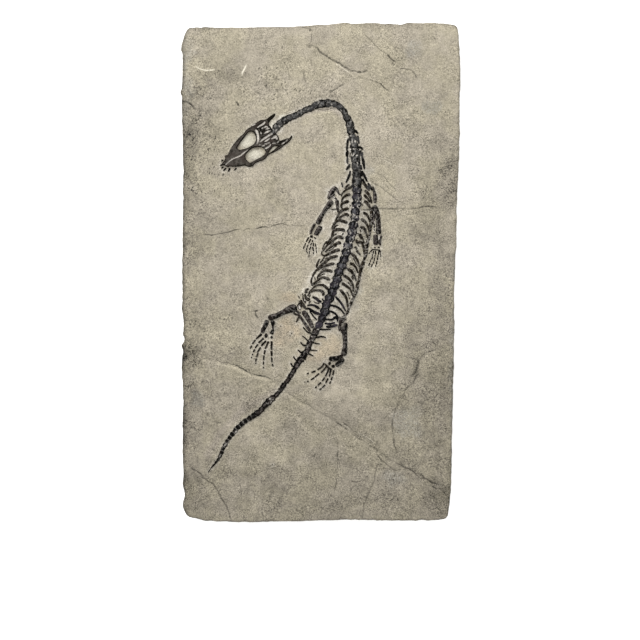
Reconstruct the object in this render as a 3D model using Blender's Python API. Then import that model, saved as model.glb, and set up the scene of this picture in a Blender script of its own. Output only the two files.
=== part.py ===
"""A small marine reptile's skeleton lying on its limestone slab, as a faceted solid model.

The slab lies on its back with the bones uppermost: +X is the slab's width, +Y its length
towards the end with the skull's neck bend, and +Z points out of the fossil face. The origin
is at the middle of the flat underside. Lengths are in millimetres and turned into metres
where meshes are made.
"""

import math

import bmesh
import bpy
import numpy as np
from mathutils.geometry import delaunay_2d_cdt, tessellate_polygon

MM = 0.001

# ---------------------------------------------------------------- driving dimensions, mm
FACE_HEIGHT = 18.0  # the slab's fossil face above its underside
BONE_GAP = 0.3  # between the face and the underside of every bone
SIDE_GAP = 0.35  # between neighbouring bones, measured level with the face
RIM_WEAR = 1.5  # how far the worn upper edge stands in from the sides
UNDERSIDE_BEVEL = 1.1
CHIP_DEPTH = 1.3  # the deepest bite out of the upper edge
LEDGE_RISE = 0.45
LEDGE_RAMP = 1.0
LEDGE_FALL = 9.0
FACE_GRID = 10.0
OUTLINE_STEP = 6.5

COLUMN_RISE = 1.5
SKULL_RISE = 1.1  # at the skull's edge
SKULL_CROWN = 0.7  # added along the middle of the skull
RIB_RISE = 0.8
RIB_HEAD_WIDTH = 1.0
RIB_TIP_WIDTH = 0.75
LIMB_RISE = 1.3
DIGIT_RISE = 0.6
DIGIT_WIDTH = 0.8
SPUR_RISE = 0.7
SPUR_WIDTH = 0.9

NECK_VERTEBRAE = 25
TRUNK_VERTEBRAE = 21
TAIL_VERTEBRAE = 36

# ---------------------------------------------------------------- colours, linear RGB
STONE = (0.40, 0.36, 0.29)
BONE = (0.055, 0.048, 0.042)
STONE_ROUGHNESS = 0.9
BONE_ROUGHNESS = 0.6

# ---------------------------------------------------------------- the slab's outline
# Corner to corner, anticlockwise seen from above: left side, foot, right side, head.
SLAB_LEFT = (
    (-63.4, 121.9), (-65.8, 121.0), (-67.7, 119.2), (-68.8, 116.2), (-69.3, 112.2),
    (-68.9, 106.2), (-69.75, 89.2), (-69.2, 83.2), (-68.8, 68.2), (-68.5, 51.2),
    (-68.7, 26.2), (-68.8, -8.8), (-69.1, -18.8), (-68.2, -27.8), (-68.9, -33.8),
    (-68.2, -39.8), (-68.9, -48.8), (-68.4, -66.8), (-68.7, -87.8), (-68.3, -98.8),
    (-68.7, -105.8), (-67.7, -111.8), (-68.3, -115.8), (-67.3, -119.6),
)
SLAB_FOOT = (
    (-65.6, -121.7), (-63.4, -122.8), (-58.2, -123.9), (-52.2, -124.3), (-37.2, -124.75),
    (-10.2, -124.2), (4.8, -123.8), (13.8, -123.5), (28.8, -123.8), (40.8, -123.9),
    (52.8, -123.8), (60.4, -123.4),
)
SLAB_RIGHT = (
    (62.6, -122.6), (63.7, -120.4), (64.4, -116.8), (65.3, -105.8), (65.5, -93.8),
    (66.1, -66.8), (66.7, -38.8), (66.7, -15.8), (67.3, 5.2), (68.0, 31.2), (69.2, 56.2),
    (69.4, 76.2), (69.75, 95.2), (69.3, 115.0), (68.6, 120.4),
)
SLAB_HEAD = (
    (67.0, 123.0), (64.2, 124.3), (52.8, 124.7), (43.8, 124.6), (40.8, 123.9),
    (35.8, 124.4), (31.8, 124.2), (25.8, 124.6), (16.8, 124.3), (13.8, 124.75),
    (7.8, 124.3), (-1.2, 123.7), (-7.2, 123.1), (-16.2, 122.7), (-40.2, 122.3),
    (-54.2, 122.4), (-58.2, 121.9), (-61.2, 122.3),
)
# The foot of a low ledge that crosses the face and dies away under the tail.
LEDGE = (
    (-61.2, -42.3), (-54.2, -43.3), (-49.2, -45.3), (-44.2, -45.8), (-40.2, -47.8),
    (-35.2, -50.0), (-26.2, -52.8), (-22.7, -56.8), (-17.7, -57.8), (-10.2, -63.8),
    (-4.7, -67.1), (0.9, -71.1), (7.9, -74.8), (17.9, -80.8), (23.4, -83.3),
    (27.9, -88.5), (29.9, -92.3), (34.4, -96.6), (38.7, -98.3), (46.9, -99.3),
    (55.4, -104.8), (62.0, -109.0),
)
LEDGE_CALM = (-20.5, -57.3)  # where the tail lies over it
CALM_RADIUS = 6.0
CALM_BLEND = 8.0

# ---------------------------------------------------------------- the skull
SKULL_OUTLINE = (
    (-49.9, 53.7), (-48.4, 52.1), (-46.8, 52.6), (-42.7, 52.9), (-37.6, 53.4),
    (-35.8, 52.8), (-33.7, 53.1), (-32.7, 54.4), (-28.6, 56.0), (-26.0, 59.0),
    (-19.6, 62.1), (-15.8, 65.2), (-14.2, 68.3), (-16.7, 66.7), (-20.3, 66.1),
    (-20.9, 67.8), (-22.2, 69.0), (-24.0, 69.0), (-24.3, 71.1), (-25.6, 73.9),
    (-25.2, 75.5), (-23.3, 77.7), (-22.8, 79.0), (-27.1, 76.7), (-29.8, 76.2),
    (-34.0, 73.7), (-38.3, 69.6), (-42.2, 65.7), (-45.0, 61.6), (-46.2, 59.0),
    (-47.6, 57.0),
)
SKULL_OPENINGS = (
    (  # orbit on the far side of the midline
        (-41.5, 62.1), (-39.4, 65.7), (-37.3, 68.3), (-35.8, 70.1), (-34.0, 70.3),
        (-32.7, 68.8), (-32.2, 66.7), (-33.0, 64.7), (-34.5, 63.4), (-38.9, 61.7),
        (-40.4, 61.5),
    ),
    (  # orbit on the near side
        (-36.2, 55.6), (-37.6, 57.5), (-37.1, 59.0), (-35.2, 61.0), (-33.2, 62.3),
        (-30.6, 62.6), (-28.6, 62.1), (-27.6, 61.0), (-27.6, 59.6), (-29.1, 58.0),
        (-31.7, 56.7), (-34.0, 55.5), (-35.2, 55.1),
    ),
    (  # slot behind the far orbit
        (-32.3, 71.2), (-31.5, 70.5), (-30.6, 69.2), (-30.7, 67.2), (-31.0, 65.1),
        (-31.5, 67.2), (-31.6, 69.2),
    ),
    ((-29.8, 66.3), (-25.8, 69.0), (-24.9, 69.4), (-25.0, 68.4), (-29.6, 65.4)),
    ((-25.8, 60.4), (-24.3, 62.3), (-21.7, 62.8), (-23.8, 61.1)),
)
SKULL_GRID = 3.0
SKULL_AXIS = ((-49.0, 53.0), (-23.0, 70.5))
SKULL_HALF_WIDTH = 10.0

# ---------------------------------------------------------------- the columns: x, y, width
NECK = (
    (-21.9, 72.9, 3.6), (-20.6, 73.9, 4.0), (-17.7, 76.0, 3.5), (-15.2, 77.2, 3.5),
    (-10.2, 79.7, 3.3), (-5.2, 82.0, 3.5), (-0.2, 84.2, 4.0), (4.8, 84.7, 3.6),
    (9.2, 83.2, 3.5), (11.6, 80.8, 3.2), (14.3, 75.5, 3.5), (15.2, 71.9, 4.0),
    (16.2, 66.2, 3.4), (16.5, 62.7, 2.8), (17.5, 56.2, 4.0), (18.4, 48.7, 4.7),
    (18.3, 43.1, 4.5),
)
TRUNK = (
    (18.3, 42.3, 4.5), (18.4, 38.7, 4.3), (18.6, 36.2, 4.7), (17.6, 31.2, 4.3),
    (17.1, 26.2, 4.5), (16.1, 21.2, 4.7), (14.8, 16.2, 4.4), (13.3, 11.2, 4.8),
    (12.0, 6.2, 4.4), (9.6, 1.2, 4.5), (8.2, -3.8, 5.0), (6.3, -8.8, 5.0),
    (4.2, -13.8, 4.7), (2.6, -18.8, 4.8), (0.5, -23.8, 3.9), (-1.1, -27.6, 3.4),
)
TAIL = (
    (-1.8, -29.2, 3.4), (-3.2, -31.3, 3.4), (-5.7, -36.3, 3.2), (-8.2, -41.3, 3.5),
    (-10.2, -43.8, 3.5), (-14.7, -51.3, 2.8), (-15.9, -53.3, 2.1), (-18.7, -56.8, 2.7),
    (-20.7, -59.8, 1.9), (-22.2, -61.8, 1.9), (-25.2, -64.3, 2.8), (-31.7, -70.3, 2.5),
    (-35.2, -72.8, 2.2), (-40.7, -76.8, 1.8), (-44.2, -81.0, 1.7), (-47.2, -85.5, 1.6),
    (-49.2, -89.8, 1.4), (-51.7, -94.3, 1.0), (-54.7, -97.8, 0.7), (-55.8, -99.6, 0.5),
)
# Small ribs that grow from the columns. Each starts inside the column.
NECK_SPURS = (
    ((15.8, 66.8), (13.6, 66.1), (13.5, 64.4)), ((16.0, 62.8), (13.6, 62.6), (13.4, 61.7)),
    ((16.8, 60.6), (13.9, 60.2), (13.6, 58.4)), ((17.2, 57.0), (14.3, 56.6), (13.9, 54.9)),
    ((17.4, 54.4), (14.6, 53.7), (13.4, 51.9)), ((18.0, 50.6), (14.7, 49.7), (13.0, 45.5)),
    ((15.8, 68.9), (18.6, 68.5), (19.5, 65.4)), ((16.8, 63.3), (18.6, 62.8), (20.6, 62.1)),
    ((17.2, 60.9), (20.0, 60.4), (20.9, 58.8)), ((17.7, 57.4), (21.1, 57.0), (21.9, 53.4)),
    ((18.5, 50.2), (21.2, 49.3), (23.1, 46.2)),
)
TRUNK_SPURS = (
    ((3.6, -15.0), (0.7, -14.2), (-1.2, -13.6), (-3.8, -12.4)),
    ((2.6, -18.0), (-0.8, -17.3), (-2.6, -16.5), (-5.8, -16.4)),
    ((1.6, -20.8), (-1.7, -20.3), (-3.5, -19.2), (-5.0, -17.9)),
    ((0.6, -23.6), (-2.3, -22.8), (-4.1, -20.9), (-5.0, -19.6)),
    ((5.0, -12.2), (8.0, -12.7), (9.8, -14.4), (11.2, -16.5), (12.0, -18.2)),
    ((4.0, -16.4), (6.5, -16.8), (8.9, -17.4), (10.7, -18.9)),
    ((2.6, -19.2), (5.0, -19.4), (7.2, -20.3), (8.9, -21.6)),
    ((1.0, -23.0), (3.6, -23.3), (6.5, -23.6), (8.2, -23.1)),
    ((0.4, -24.8), (4.8, -25.6), (8.0, -26.4)),
)
TAIL_SPURS = (
    ((-3.6, -31.2), (-6.5, -29.8), (-8.5, -27.6)), ((-5.0, -34.6), (-7.8, -32.7), (-9.1, -31.8)),
    ((-6.0, -37.0), (-8.7, -36.3), (-9.8, -35.1)), ((-7.4, -40.0), (-9.9, -39.9), (-11.2, -38.9)),
    ((-10.6, -44.8), (-13.4, -42.4)), ((-12.2, -47.4), (-14.7, -45.6)),
    ((-2.4, -30.1), (0.3, -29.4), (5.0, -28.8)), ((-3.8, -32.8), (0.2, -32.1), (2.6, -32.5)),
    ((-5.2, -35.1), (-0.4, -35.6)), ((-6.8, -38.8), (-2.1, -39.1)),
    ((-8.0, -40.6), (-3.9, -41.6)),
)

# ---------------------------------------------------------------- the ribs, head to tip
LEFT_RIBS = (
    ((15.5, 43.0), (13.4, 41.5), (11.3, 39.9)),
    ((15.0, 39.1), (13.4, 38.9), (11.7, 37.7), (10.5, 36.5)),
    ((14.3, 35.6), (12.5, 35.3), (10.8, 34.3)),
    ((14.2, 31.8), (12.5, 31.8), (10.5, 30.3)),
    ((14.3, 28.5), (12.5, 29.1), (10.4, 28.0), (9.3, 27.3)),
    ((13.4, 25.0), (11.9, 25.6), (10.2, 25.9), (8.2, 25.6), (6.9, 24.1), (6.0, 22.3)),
    ((12.2, 20.9), (11.1, 21.5), (9.0, 21.6), (7.2, 21.2), (5.9, 19.6), (5.5, 18.3)),
    ((11.7, 17.0), (10.5, 17.6), (9.0, 18.1), (7.2, 17.2), (5.5, 16.2), (3.1, 13.8), (1.3, 11.1)),
    ((10.2, 14.5), (8.7, 14.7), (6.7, 13.8), (4.9, 12.6), (3.1, 10.8)),
    ((9.9, 11.0), (8.7, 11.0), (6.7, 10.6), (4.6, 9.7), (2.2, 8.6), (1.0, 8.8)),
    ((8.6, 8.1), (6.5, 7.8), (4.5, 7.1), (1.4, 5.0), (-1.3, 2.9)),
    ((6.8, 4.4), (5.0, 4.3), (3.0, 3.4), (0.8, 2.4), (-1.4, 0.9)),
    ((5.8, 0.5), (4.2, 0.9), (1.8, 0.7), (0.3, 0.0), (-2.0, -1.5), (-4.1, -2.1)),
    ((4.8, -3.5), (3.0, -2.9), (1.2, -2.3), (-0.2, -3.2), (-2.3, -4.7), (-4.1, -6.2)),
    ((3.9, -8.2), (2.1, -6.8), (0.0, -6.0), (-2.3, -6.8), (-4.0, -7.9)),
    ((1.8, -10.3), (-0.2, -9.1), (-2.3, -9.1), (-4.7, -9.7), (-6.5, -11.5)),
)
RIGHT_RIBS = (
    ((22.0, 43.9), (23.2, 42.1), (24.3, 41.4)),
    ((22.5, 40.9), (24.0, 39.1), (24.9, 37.7)),
    ((22.0, 38.6), (23.4, 37.1), (25.2, 34.7)),
    ((22.2, 35.6), (23.8, 34.4), (24.9, 32.4), (25.2, 29.7)),
    ((22.0, 29.7), (23.2, 28.8), (24.0, 27.4), (24.7, 25.0)),
    ((20.5, 26.6), (22.3, 25.6), (23.8, 23.5), (24.3, 20.9)),
    ((20.2, 22.6), (21.4, 22.6), (22.5, 20.9), (23.4, 18.2)),
    ((19.3, 19.1), (20.2, 17.9), (21.4, 16.4)),
    ((17.8, 16.2), (18.2, 15.3), (20.2, 15.3), (21.1, 14.1), (21.5, 12.3), (21.7, 9.4)),
    ((17.4, 11.9), (18.8, 10.6), (19.9, 9.1)),
    ((15.4, 9.4), (17.2, 8.0), (18.7, 6.2), (19.5, 3.5), (19.8, 2.1)),
    ((14.8, 4.4), (16.5, 3.5), (18.0, 1.8), (18.7, -0.3)),
    ((13.6, 2.1), (15.4, 0.6), (16.8, -1.5), (17.8, -3.8)),
    ((11.5, -1.5), (13.6, -2.6), (15.4, -4.4), (16.2, -6.4), (16.3, -8.0)),
    ((10.9, -5.6), (13.0, -6.8), (14.4, -7.9), (15.0, -9.7), (15.6, -11.2)),
    ((10.1, -8.8), (11.5, -10.6), (13.0, -12.7), (13.4, -15.6), (13.9, -18.3)),
)
RIGHT_BELLY_RIBS = (
    (25.7, 28.6, 1.0), (25.5, 26.2, 1.0), (25.2, 24.1, 1.0), (24.7, 21.2, 1.1),
    (24.2, 17.3, 1.1), (23.2, 14.4, 1.2), (23.4, 11.4, 1.1), (22.8, 9.4, 1.2),
    (21.8, 6.2, 1.3), (20.7, 3.0, 1.3), (20.1, -0.3, 1.2), (19.5, -3.8, 1.3),
    (18.3, -6.2, 1.4), (18.7, -8.5, 1.4), (17.2, -11.2, 1.2), (15.9, -13.8, 1.2),
    (14.8, -16.5, 1.1), (13.6, -19.7, 1.1), (12.2, -21.8, 1.1), (10.7, -22.9, 1.0),
)

# ---------------------------------------------------------------- limb bones: x, y, width
LIMB_BONES = {
    "left_clavicle": ((7.4, 42.6, 2.2), (5.8, 39.7, 2.8), (4.6, 37.0, 1.2)),
    "left_scapula": ((8.4, 36.0, 1.7), (9.2, 33.5, 1.5), (8.9, 30.7, 1.1)),
    "right_scapula": ((26.8, 42.7, 0.9), (27.3, 38.7, 1.6), (27.3, 34.7, 1.7)),
    "left_humerus": ((5.6, 35.6, 2.3), (2.3, 31.7, 1.9), (-0.2, 28.2, 1.9), (-1.5, 24.6, 2.5)),
    "left_radius": ((-0.2, 22.7, 2.0), (-1.2, 20.9, 2.6), (-2.2, 19.1, 2.0)),
    "left_ulna": ((-2.8, 24.1, 1.2), (-3.9, 21.8, 0.8), (-4.8, 19.7, 1.0)),
    "right_humerus": ((27.0, 33.2, 1.9), (28.2, 30.2, 2.2), (29.1, 25.2, 2.4), (29.1, 19.6, 2.5)),
    "right_radius": ((27.6, 18.5, 2.3), (27.6, 16.2, 2.2), (27.6, 13.9, 2.4)),
    "right_ulna": ((30.4, 18.2, 0.9), (30.2, 16.0, 0.8), (30.0, 13.6, 0.9)),
    "left_ilium": ((-8.8, -19.4, 1.3), (-6.6, -21.2, 1.6), (-5.5, -24.2, 1.4), (-4.3, -26.6, 1.2)),
    "left_ischium": ((-10.2, -22.3, 1.1), (-8.3, -24.6, 1.1), (-6.8, -26.8, 1.1), (-5.5, -28.8, 1.0)),
    "right_ilium": ((10.3, -23.9, 1.0), (10.5, -25.7, 1.2), (10.2, -27.4, 1.0)),
    "left_femur": (
        (-12.7, -17.3, 3.4), (-15.2, -18.1, 3.0), (-18.2, -19.4, 2.3), (-21.7, -21.2, 2.2),
        (-24.2, -22.3, 2.5), (-25.6, -22.9, 1.9),
    ),
    "left_tibia": ((-26.7, -24.2, 1.8), (-27.6, -26.8, 2.0), (-28.5, -29.9, 1.5)),
    "left_fibula": (
        (-23.7, -24.6, 1.9), (-24.3, -26.6, 1.0), (-24.2, -28.6, 1.1), (-24.3, -30.6, 1.9),
    ),
    "right_femur": (
        (12.4, -26.8, 1.4), (12.0, -28.8, 2.6), (12.3, -31.3, 2.1), (12.4, -33.8, 1.9),
        (12.4, -37.3, 1.9), (11.9, -40.6, 2.5),
    ),
    "right_tibia": ((10.4, -42.4, 1.6), (7.6, -43.1, 1.7), (4.9, -43.4, 1.9)),
    "right_fibula": ((11.6, -44.2, 1.7), (9.9, -45.0, 1.9), (8.3, -45.9, 1.5)),
}
# Each hand and foot: the arc of wrist or ankle bones with its width, then the digits.
HANDS_AND_FEET = {
    "left_hand": (
        1.7,
        ((-5.6, 17.6), (-4.6, 17.0), (-3.6, 16.2), (-2.4, 15.7)),
        (
            ((-5.2, 17.4), (-6.9, 15.5), (-8.5, 12.0)),
            ((-4.6, 16.9), (-6.0, 14.2), (-6.8, 12.0), (-6.5, 10.0)),
            ((-3.9, 16.4), (-5.0, 12.5), (-5.7, 8.0)),
            ((-3.4, 16.0), (-3.7, 12.5), (-3.5, 9.5)),
            ((-2.6, 15.7), (-2.3, 13.0), (-1.9, 10.0)),
        ),
    ),
    "right_hand": (
        1.3,
        ((26.2, 11.4), (27.4, 11.6), (28.6, 11.6), (30.0, 11.4)),
        (
            ((26.4, 11.4), (25.3, 10.4), (24.5, 9.8)),
            ((26.9, 11.5), (26.1, 7.6), (24.3, 3.5)),
            ((27.8, 11.5), (27.2, 7.5), (25.5, 3.0)),
            ((29.0, 11.5), (28.6, 7.1), (27.6, 3.2)),
            ((29.8, 11.4), (30.2, 7.7)),
        ),
    ),
    "left_foot": (
        1.7,
        ((-29.4, -32.2), (-27.7, -33.2), (-26.0, -33.7), (-24.2, -33.7)),
        (
            ((-29.0, -32.4), (-32.4, -34.2), (-35.0, -38.0)),
            ((-27.9, -33.1), (-32.2, -37.9), (-34.5, -42.8)),
            ((-26.8, -33.6), (-31.2, -39.8), (-32.2, -45.3)),
            ((-25.8, -33.8), (-28.0, -40.8), (-28.3, -47.8)),
            ((-24.5, -33.8), (-24.3, -40.8), (-23.7, -46.8)),
        ),
    ),
    "right_foot": (
        1.8,
        ((3.4, -45.2), (3.9, -46.6), (5.0, -47.6), (6.6, -47.7)),
        (
            ((3.1, -45.3), (-0.2, -47.6), (-6.7, -50.8)),
            ((3.4, -46.4), (-2.7, -52.3), (-7.7, -54.8)),
            ((4.3, -47.2), (2.0, -52.3), (-2.6, -57.8)),
            ((5.3, -47.9), (3.8, -53.0), (-0.4, -58.7)),
            ((6.4, -47.9), (4.6, -55.5)),
        ),
    ),
}

# Cross-sections of a bone lying on the face: (across, up), as shares of half width and rise.
ROUND_SECTION = ((-1.0, 0.0), (-0.72, 0.72), (0.0, 1.0), (0.72, 0.72), (1.0, 0.0))
RIDGED_SECTION = (
    (-1.0, 0.0), (-0.94, 0.42), (-0.5, 0.62), (0.0, 1.0), (0.5, 0.62), (0.94, 0.42), (1.0, 0.0),
)
# One vertebra along the column: (share of its length, width, rise).
VERTEBRA = ((0.0, 0.72, 0.7), (0.24, 1.0, 0.94), (0.66, 1.0, 1.0))

BONE_BASE = FACE_HEIGHT + BONE_GAP
FUSED_LIFT = 0.05  # keeps the undersides of joined shapes out of one plane


# ---------------------------------------------------------------- helpers
def clear_scene():
    for old in list(bpy.data.objects):
        bpy.data.objects.remove(old, do_unlink=True)


def make_material(name, colour, roughness):
    material = bpy.data.materials.new(name)
    material.use_nodes = True
    shader = material.node_tree.nodes["Principled BSDF"]
    shader.inputs["Base Color"].default_value = (*colour, 1.0)
    shader.inputs["Roughness"].default_value = roughness
    shader.inputs["Metallic"].default_value = 0.0
    material.diffuse_color = (*colour, 1.0)
    return material


def add_object(name, vertices, faces, material):
    """A mesh object from points in millimetres."""
    mesh = bpy.data.meshes.new(name)
    mesh.from_pydata([tuple(float(c) * MM for c in v) for v in vertices], [], faces)
    mesh.validate()
    mesh.materials.append(material)
    obj = bpy.data.objects.new(name, mesh)
    bpy.context.scene.collection.objects.link(obj)
    return obj


def smooth_path(points, step):
    """Points every `step` or less along a Catmull-Rom curve through `points` (rows of numbers)."""
    p = np.array(points, float)
    p = np.vstack([2 * p[0] - p[1], p, 2 * p[-1] - p[-2]])
    out = []
    for a, b, c, d in zip(p[:-3], p[1:-2], p[2:-1], p[3:]):
        count = max(1, math.ceil(math.dist(b[:2], c[:2]) / step))
        for t in np.arange(count) / count:
            out.append(
                0.5 * (2 * b + (c - a) * t + (2 * a - 5 * b + 4 * c - d) * t**2
                       + (3 * b - a - 3 * c + d) * t**3)
            )
    out.append(p[-2])
    return np.array(out)


def along(path, shares):
    """Rows of `path` read at shares (0 to 1) of its length."""
    reach = np.concatenate([[0], np.cumsum(np.hypot(*np.diff(path[:, :2], axis=0).T))])
    return np.array([np.interp(np.array(shares) * reach[-1], reach, column) for column in path.T]).T


def inward_normals(loop):
    """Unit normals to the left of an anticlockwise closed loop."""
    forward = np.roll(loop, -1, axis=0) - np.roll(loop, 1, axis=0)
    normals = np.stack([-forward[:, 1], forward[:, 0]], axis=1)
    return normals / np.linalg.norm(normals, axis=1, keepdims=True)


def inside(point, loop):
    """Whether a point lies in a closed loop, by counting the edges that a ray to +X crosses."""
    a, b = np.array(loop), np.roll(loop, -1, axis=0)
    spans = (a[:, 1] > point[1]) != (b[:, 1] > point[1])
    a, b = a[spans], b[spans]
    crossing = a[:, 0] + (point[1] - a[:, 1]) * (b[:, 0] - a[:, 0]) / (b[:, 1] - a[:, 1])
    return bool((crossing > point[0]).sum() % 2)


def distance_to_line(point, line):
    """Distance to a polyline, and on which side of it: positive to the right of its run."""
    a, b = np.array(line[:-1]), np.array(line[1:])
    run = b - a
    share = np.clip(((point - a) * run).sum(1) / (run**2).sum(1), 0, 1)
    away = np.array(point) - (a + run * share[:, None])
    nearest = int(np.argmin((away**2).sum(1)))
    side = run[nearest][1] * away[nearest][0] - run[nearest][0] * away[nearest][1]
    return math.copysign(float(np.hypot(*away[nearest])), side)


def triangulate(loops, extra_points, extra_lines=()):
    """Triangles inside the first loop and outside the others, keeping every loop's edges."""
    points, edges = [], []
    for loop in loops:
        first = len(points)
        points += [tuple(p) for p in loop]
        edges += [(first + i, first + (i + 1) % len(loop)) for i in range(len(loop))]
    for line in extra_lines:
        first = len(points)
        points += [tuple(p) for p in line]
        edges += [(first + i, first + i + 1) for i in range(len(line) - 1)]
    points += [tuple(p) for p in extra_points]
    found, _, triangles, *_ = delaunay_2d_cdt(points, edges, [], 0, 1e-4)
    found = np.array([tuple(p) for p in found])
    kept = []
    for triangle in triangles:
        centre = found[list(triangle)].mean(0)
        if inside(centre, loops[0]) and not any(inside(centre, hole) for hole in loops[1:]):
            kept.append(tuple(triangle))
    return found, kept


def plate(loops, extra_points, top, bottom):
    """A closed plate: one triangulated sheet, its copy below, and walls round every edge."""
    flat, triangles = triangulate(loops, extra_points)
    count = len(flat)
    vertices = [(x, y, top(x, y)) for x, y in flat] + [(x, y, bottom) for x, y in flat]
    faces = list(triangles) + [(c + count, b + count, a + count) for a, b, c in triangles]
    sides = {edge for a, b, c in triangles for edge in ((a, b), (b, c), (c, a))}
    faces += [(b, a, a + count, b + count) for a, b in sides if (b, a) not in sides]
    return vertices, faces


# ---------------------------------------------------------------- the slab
def slab_loop():
    """The slab's outline as evenly spaced points, anticlockwise."""
    corners = np.array(SLAB_LEFT + SLAB_FOOT + SLAB_RIGHT + SLAB_HEAD)
    closed = np.vstack([corners, corners[:1]])
    reach = np.concatenate([[0], np.cumsum(np.hypot(*np.diff(closed, axis=0).T))])
    places = []
    for start, end in zip(reach[:-1], reach[1:]):
        pieces = max(1, round((end - start) / OUTLINE_STEP))
        places += list(start + (end - start) * np.arange(pieces) / pieces)
    return np.stack([np.interp(places, reach, column) for column in closed.T], axis=1)


def ledge_height(x, y):
    """The low ledge: a short steep ramp on its lower side, then a long fall back to the face."""
    below = distance_to_line((x, y), LEDGE)
    rise = min(below / LEDGE_RAMP, 1 - (below - LEDGE_RAMP) / LEDGE_FALL)
    calm = (math.dist((x, y), LEDGE_CALM) - CALM_RADIUS) / CALM_BLEND
    return LEDGE_RISE * max(0.0, rise) * min(1.0, max(0.0, calm))


def build_slab(material):
    loop = slab_loop()
    inward = inward_normals(loop)
    chips = CHIP_DEPTH * np.random.default_rng(7).random(len(loop)) ** 4
    rings = []
    for share_of_chip, inset, height in (
        (0.0, UNDERSIDE_BEVEL, 0.0),
        (0.0, 0.0, UNDERSIDE_BEVEL),
        (0.1, 0.1, 0.55 * FACE_HEIGHT),
        (0.4, 0.0, FACE_HEIGHT - 2.4),
        (0.8, 0.35 * RIM_WEAR, FACE_HEIGHT - 0.9),
    ):
        moved = loop + inward * (inset + share_of_chip * chips)[:, None]
        rings.append([(x, y, height) for x, y in moved])
    rim = loop + inward * (RIM_WEAR + chips)[:, None]

    ledge = np.array(LEDGE)
    run = np.gradient(ledge, axis=0)
    lower = np.stack([run[:, 1], -run[:, 0]], axis=1) / np.hypot(*run.T)[:, None]
    lines = [ledge, ledge + lower * LEDGE_RAMP]
    grid = [
        (x, y)
        for x in np.arange(-60, 61, FACE_GRID)
        for y in np.arange(-115, 116, FACE_GRID)
        if abs(distance_to_line((x, y), LEDGE)) > 2.5
    ]
    flat, triangles = triangulate([rim], grid, lines)
    count = len(loop)
    vertices = [v for ring in rings for v in ring]
    first = len(vertices)
    vertices += [(x, y, FACE_HEIGHT + (ledge_height(x, y) if i >= count else 0.0))
                 for i, (x, y) in enumerate(flat)]
    faces = []
    for ring in range(len(rings)):
        low, high = ring * count, (ring + 1) * count
        for i in range(count):
            j = (i + 1) % count
            faces.append((low + i, low + j, high + j, high + i))
    faces += [tuple(first + i for i in triangle) for triangle in triangles]
    foot = tessellate_polygon([[(x, y, 0.0) for x, y, _ in rings[0]]])
    faces += [tuple(triangle) for triangle in foot]
    slab = add_object("slab", vertices, faces, material)
    shape = bmesh.new()
    shape.from_mesh(slab.data)
    bmesh.ops.recalc_face_normals(shape, faces=shape.faces)
    shape.to_mesh(slab.data)
    shape.free()
    return slab


# ---------------------------------------------------------------- bones
class Clearance:
    """The ground that the bones placed so far cover, as discs along their middles."""

    def __init__(self):
        self.discs = np.zeros((0, 3))

    def cover(self, path):
        half = path[:, 2:3] / 2
        self.discs = np.vstack([self.discs, np.hstack([path[:, :2], half])])

    def trim(self, path):
        """The longest run of `path` that keeps SIDE_GAP from every bone placed so far."""
        if not len(self.discs):
            return path
        apart = np.hypot(
            path[:, None, 0] - self.discs[None, :, 0], path[:, None, 1] - self.discs[None, :, 1]
        )
        room = (apart - self.discs[None, :, 2]).min(1) - path[:, 2] / 2
        free = room > SIDE_GAP
        best, start = (0, 0), None
        for i, ok in enumerate([*free, False]):
            if ok and start is None:
                start = i
            if not ok and start is not None:
                best = max(best, (i - start, -start))
                start = None
        length, start = best[0], -best[1]
        return path[start : start + length]


def loft(stations, section, base):
    """A closed bone along `stations` (x, y, width, rise), flat below, with `section` across it."""
    run = np.gradient(stations[:, :2], axis=0)
    across = np.stack([-run[:, 1], run[:, 0]], axis=1)
    across /= np.linalg.norm(across, axis=1, keepdims=True)
    sides, ups = np.array(section).T
    half = stations[:, 2] / 2
    x = stations[:, 0, None] - across[:, 0, None] * half[:, None] * sides
    y = stations[:, 1, None] - across[:, 1, None] * half[:, None] * sides
    z = base + stations[:, 3, None] * ups
    vertices = np.stack([x, y, z], axis=2).reshape(-1, 3)
    count = len(section)
    faces = [tuple(reversed(range(count)))]
    for ring in range(len(stations) - 1):
        low, high = ring * count, (ring + 1) * count
        for i in range(count):
            j = (i + 1) % count
            faces.append((low + i, low + j, high + j, high + i))
    faces.append(tuple(range(len(vertices) - count, len(vertices))))
    return [tuple(v) for v in vertices], faces


def with_widths(points, head, tip=None):
    """Plane points as (x, y, width) rows, the width running evenly from `head` to `tip`."""
    widths = np.linspace(head, head if tip is None else tip, len(points))
    return np.column_stack([np.array(points), widths])


def rod_stations(path, rise, spacing, end_share=0.62):
    """Stations along a trimmed path, thinner and lower at both ends."""
    length = float(np.hypot(*np.diff(path[:, :2], axis=0).T).sum())
    count = max(3, round(length / spacing) + 1)
    shares = np.linspace(0, 1, count)
    rows = along(path, shares)
    ends = np.where((shares == 0) | (shares == 1), end_share, 1.0)
    return np.column_stack([rows[:, :2], rows[:, 2] * ends, rise * ends])


def column_stations(path, vertebrae, growth):
    """Stations of a column. The last vertebra is `growth` times as long as the first."""
    first = 2 / (1 + growth)
    shares, widths, rises = [], [], []
    for k in range(vertebrae):
        for share, width, rise in VERTEBRA:
            t = (k + share) / vertebrae
            shares.append(first * t + (1 - first) * t * t)
            widths.append(width)
            rises.append(rise)
    shares.append(1.0)
    widths.append(VERTEBRA[0][1])
    rises.append(VERTEBRA[0][2])
    rows = along(path, shares)
    thin = np.clip(rows[:, 2] / 3.0, 0.3, 1.0)
    return np.column_stack([rows[:, :2], rows[:, 2] * widths, COLUMN_RISE * thin * rises])


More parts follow.
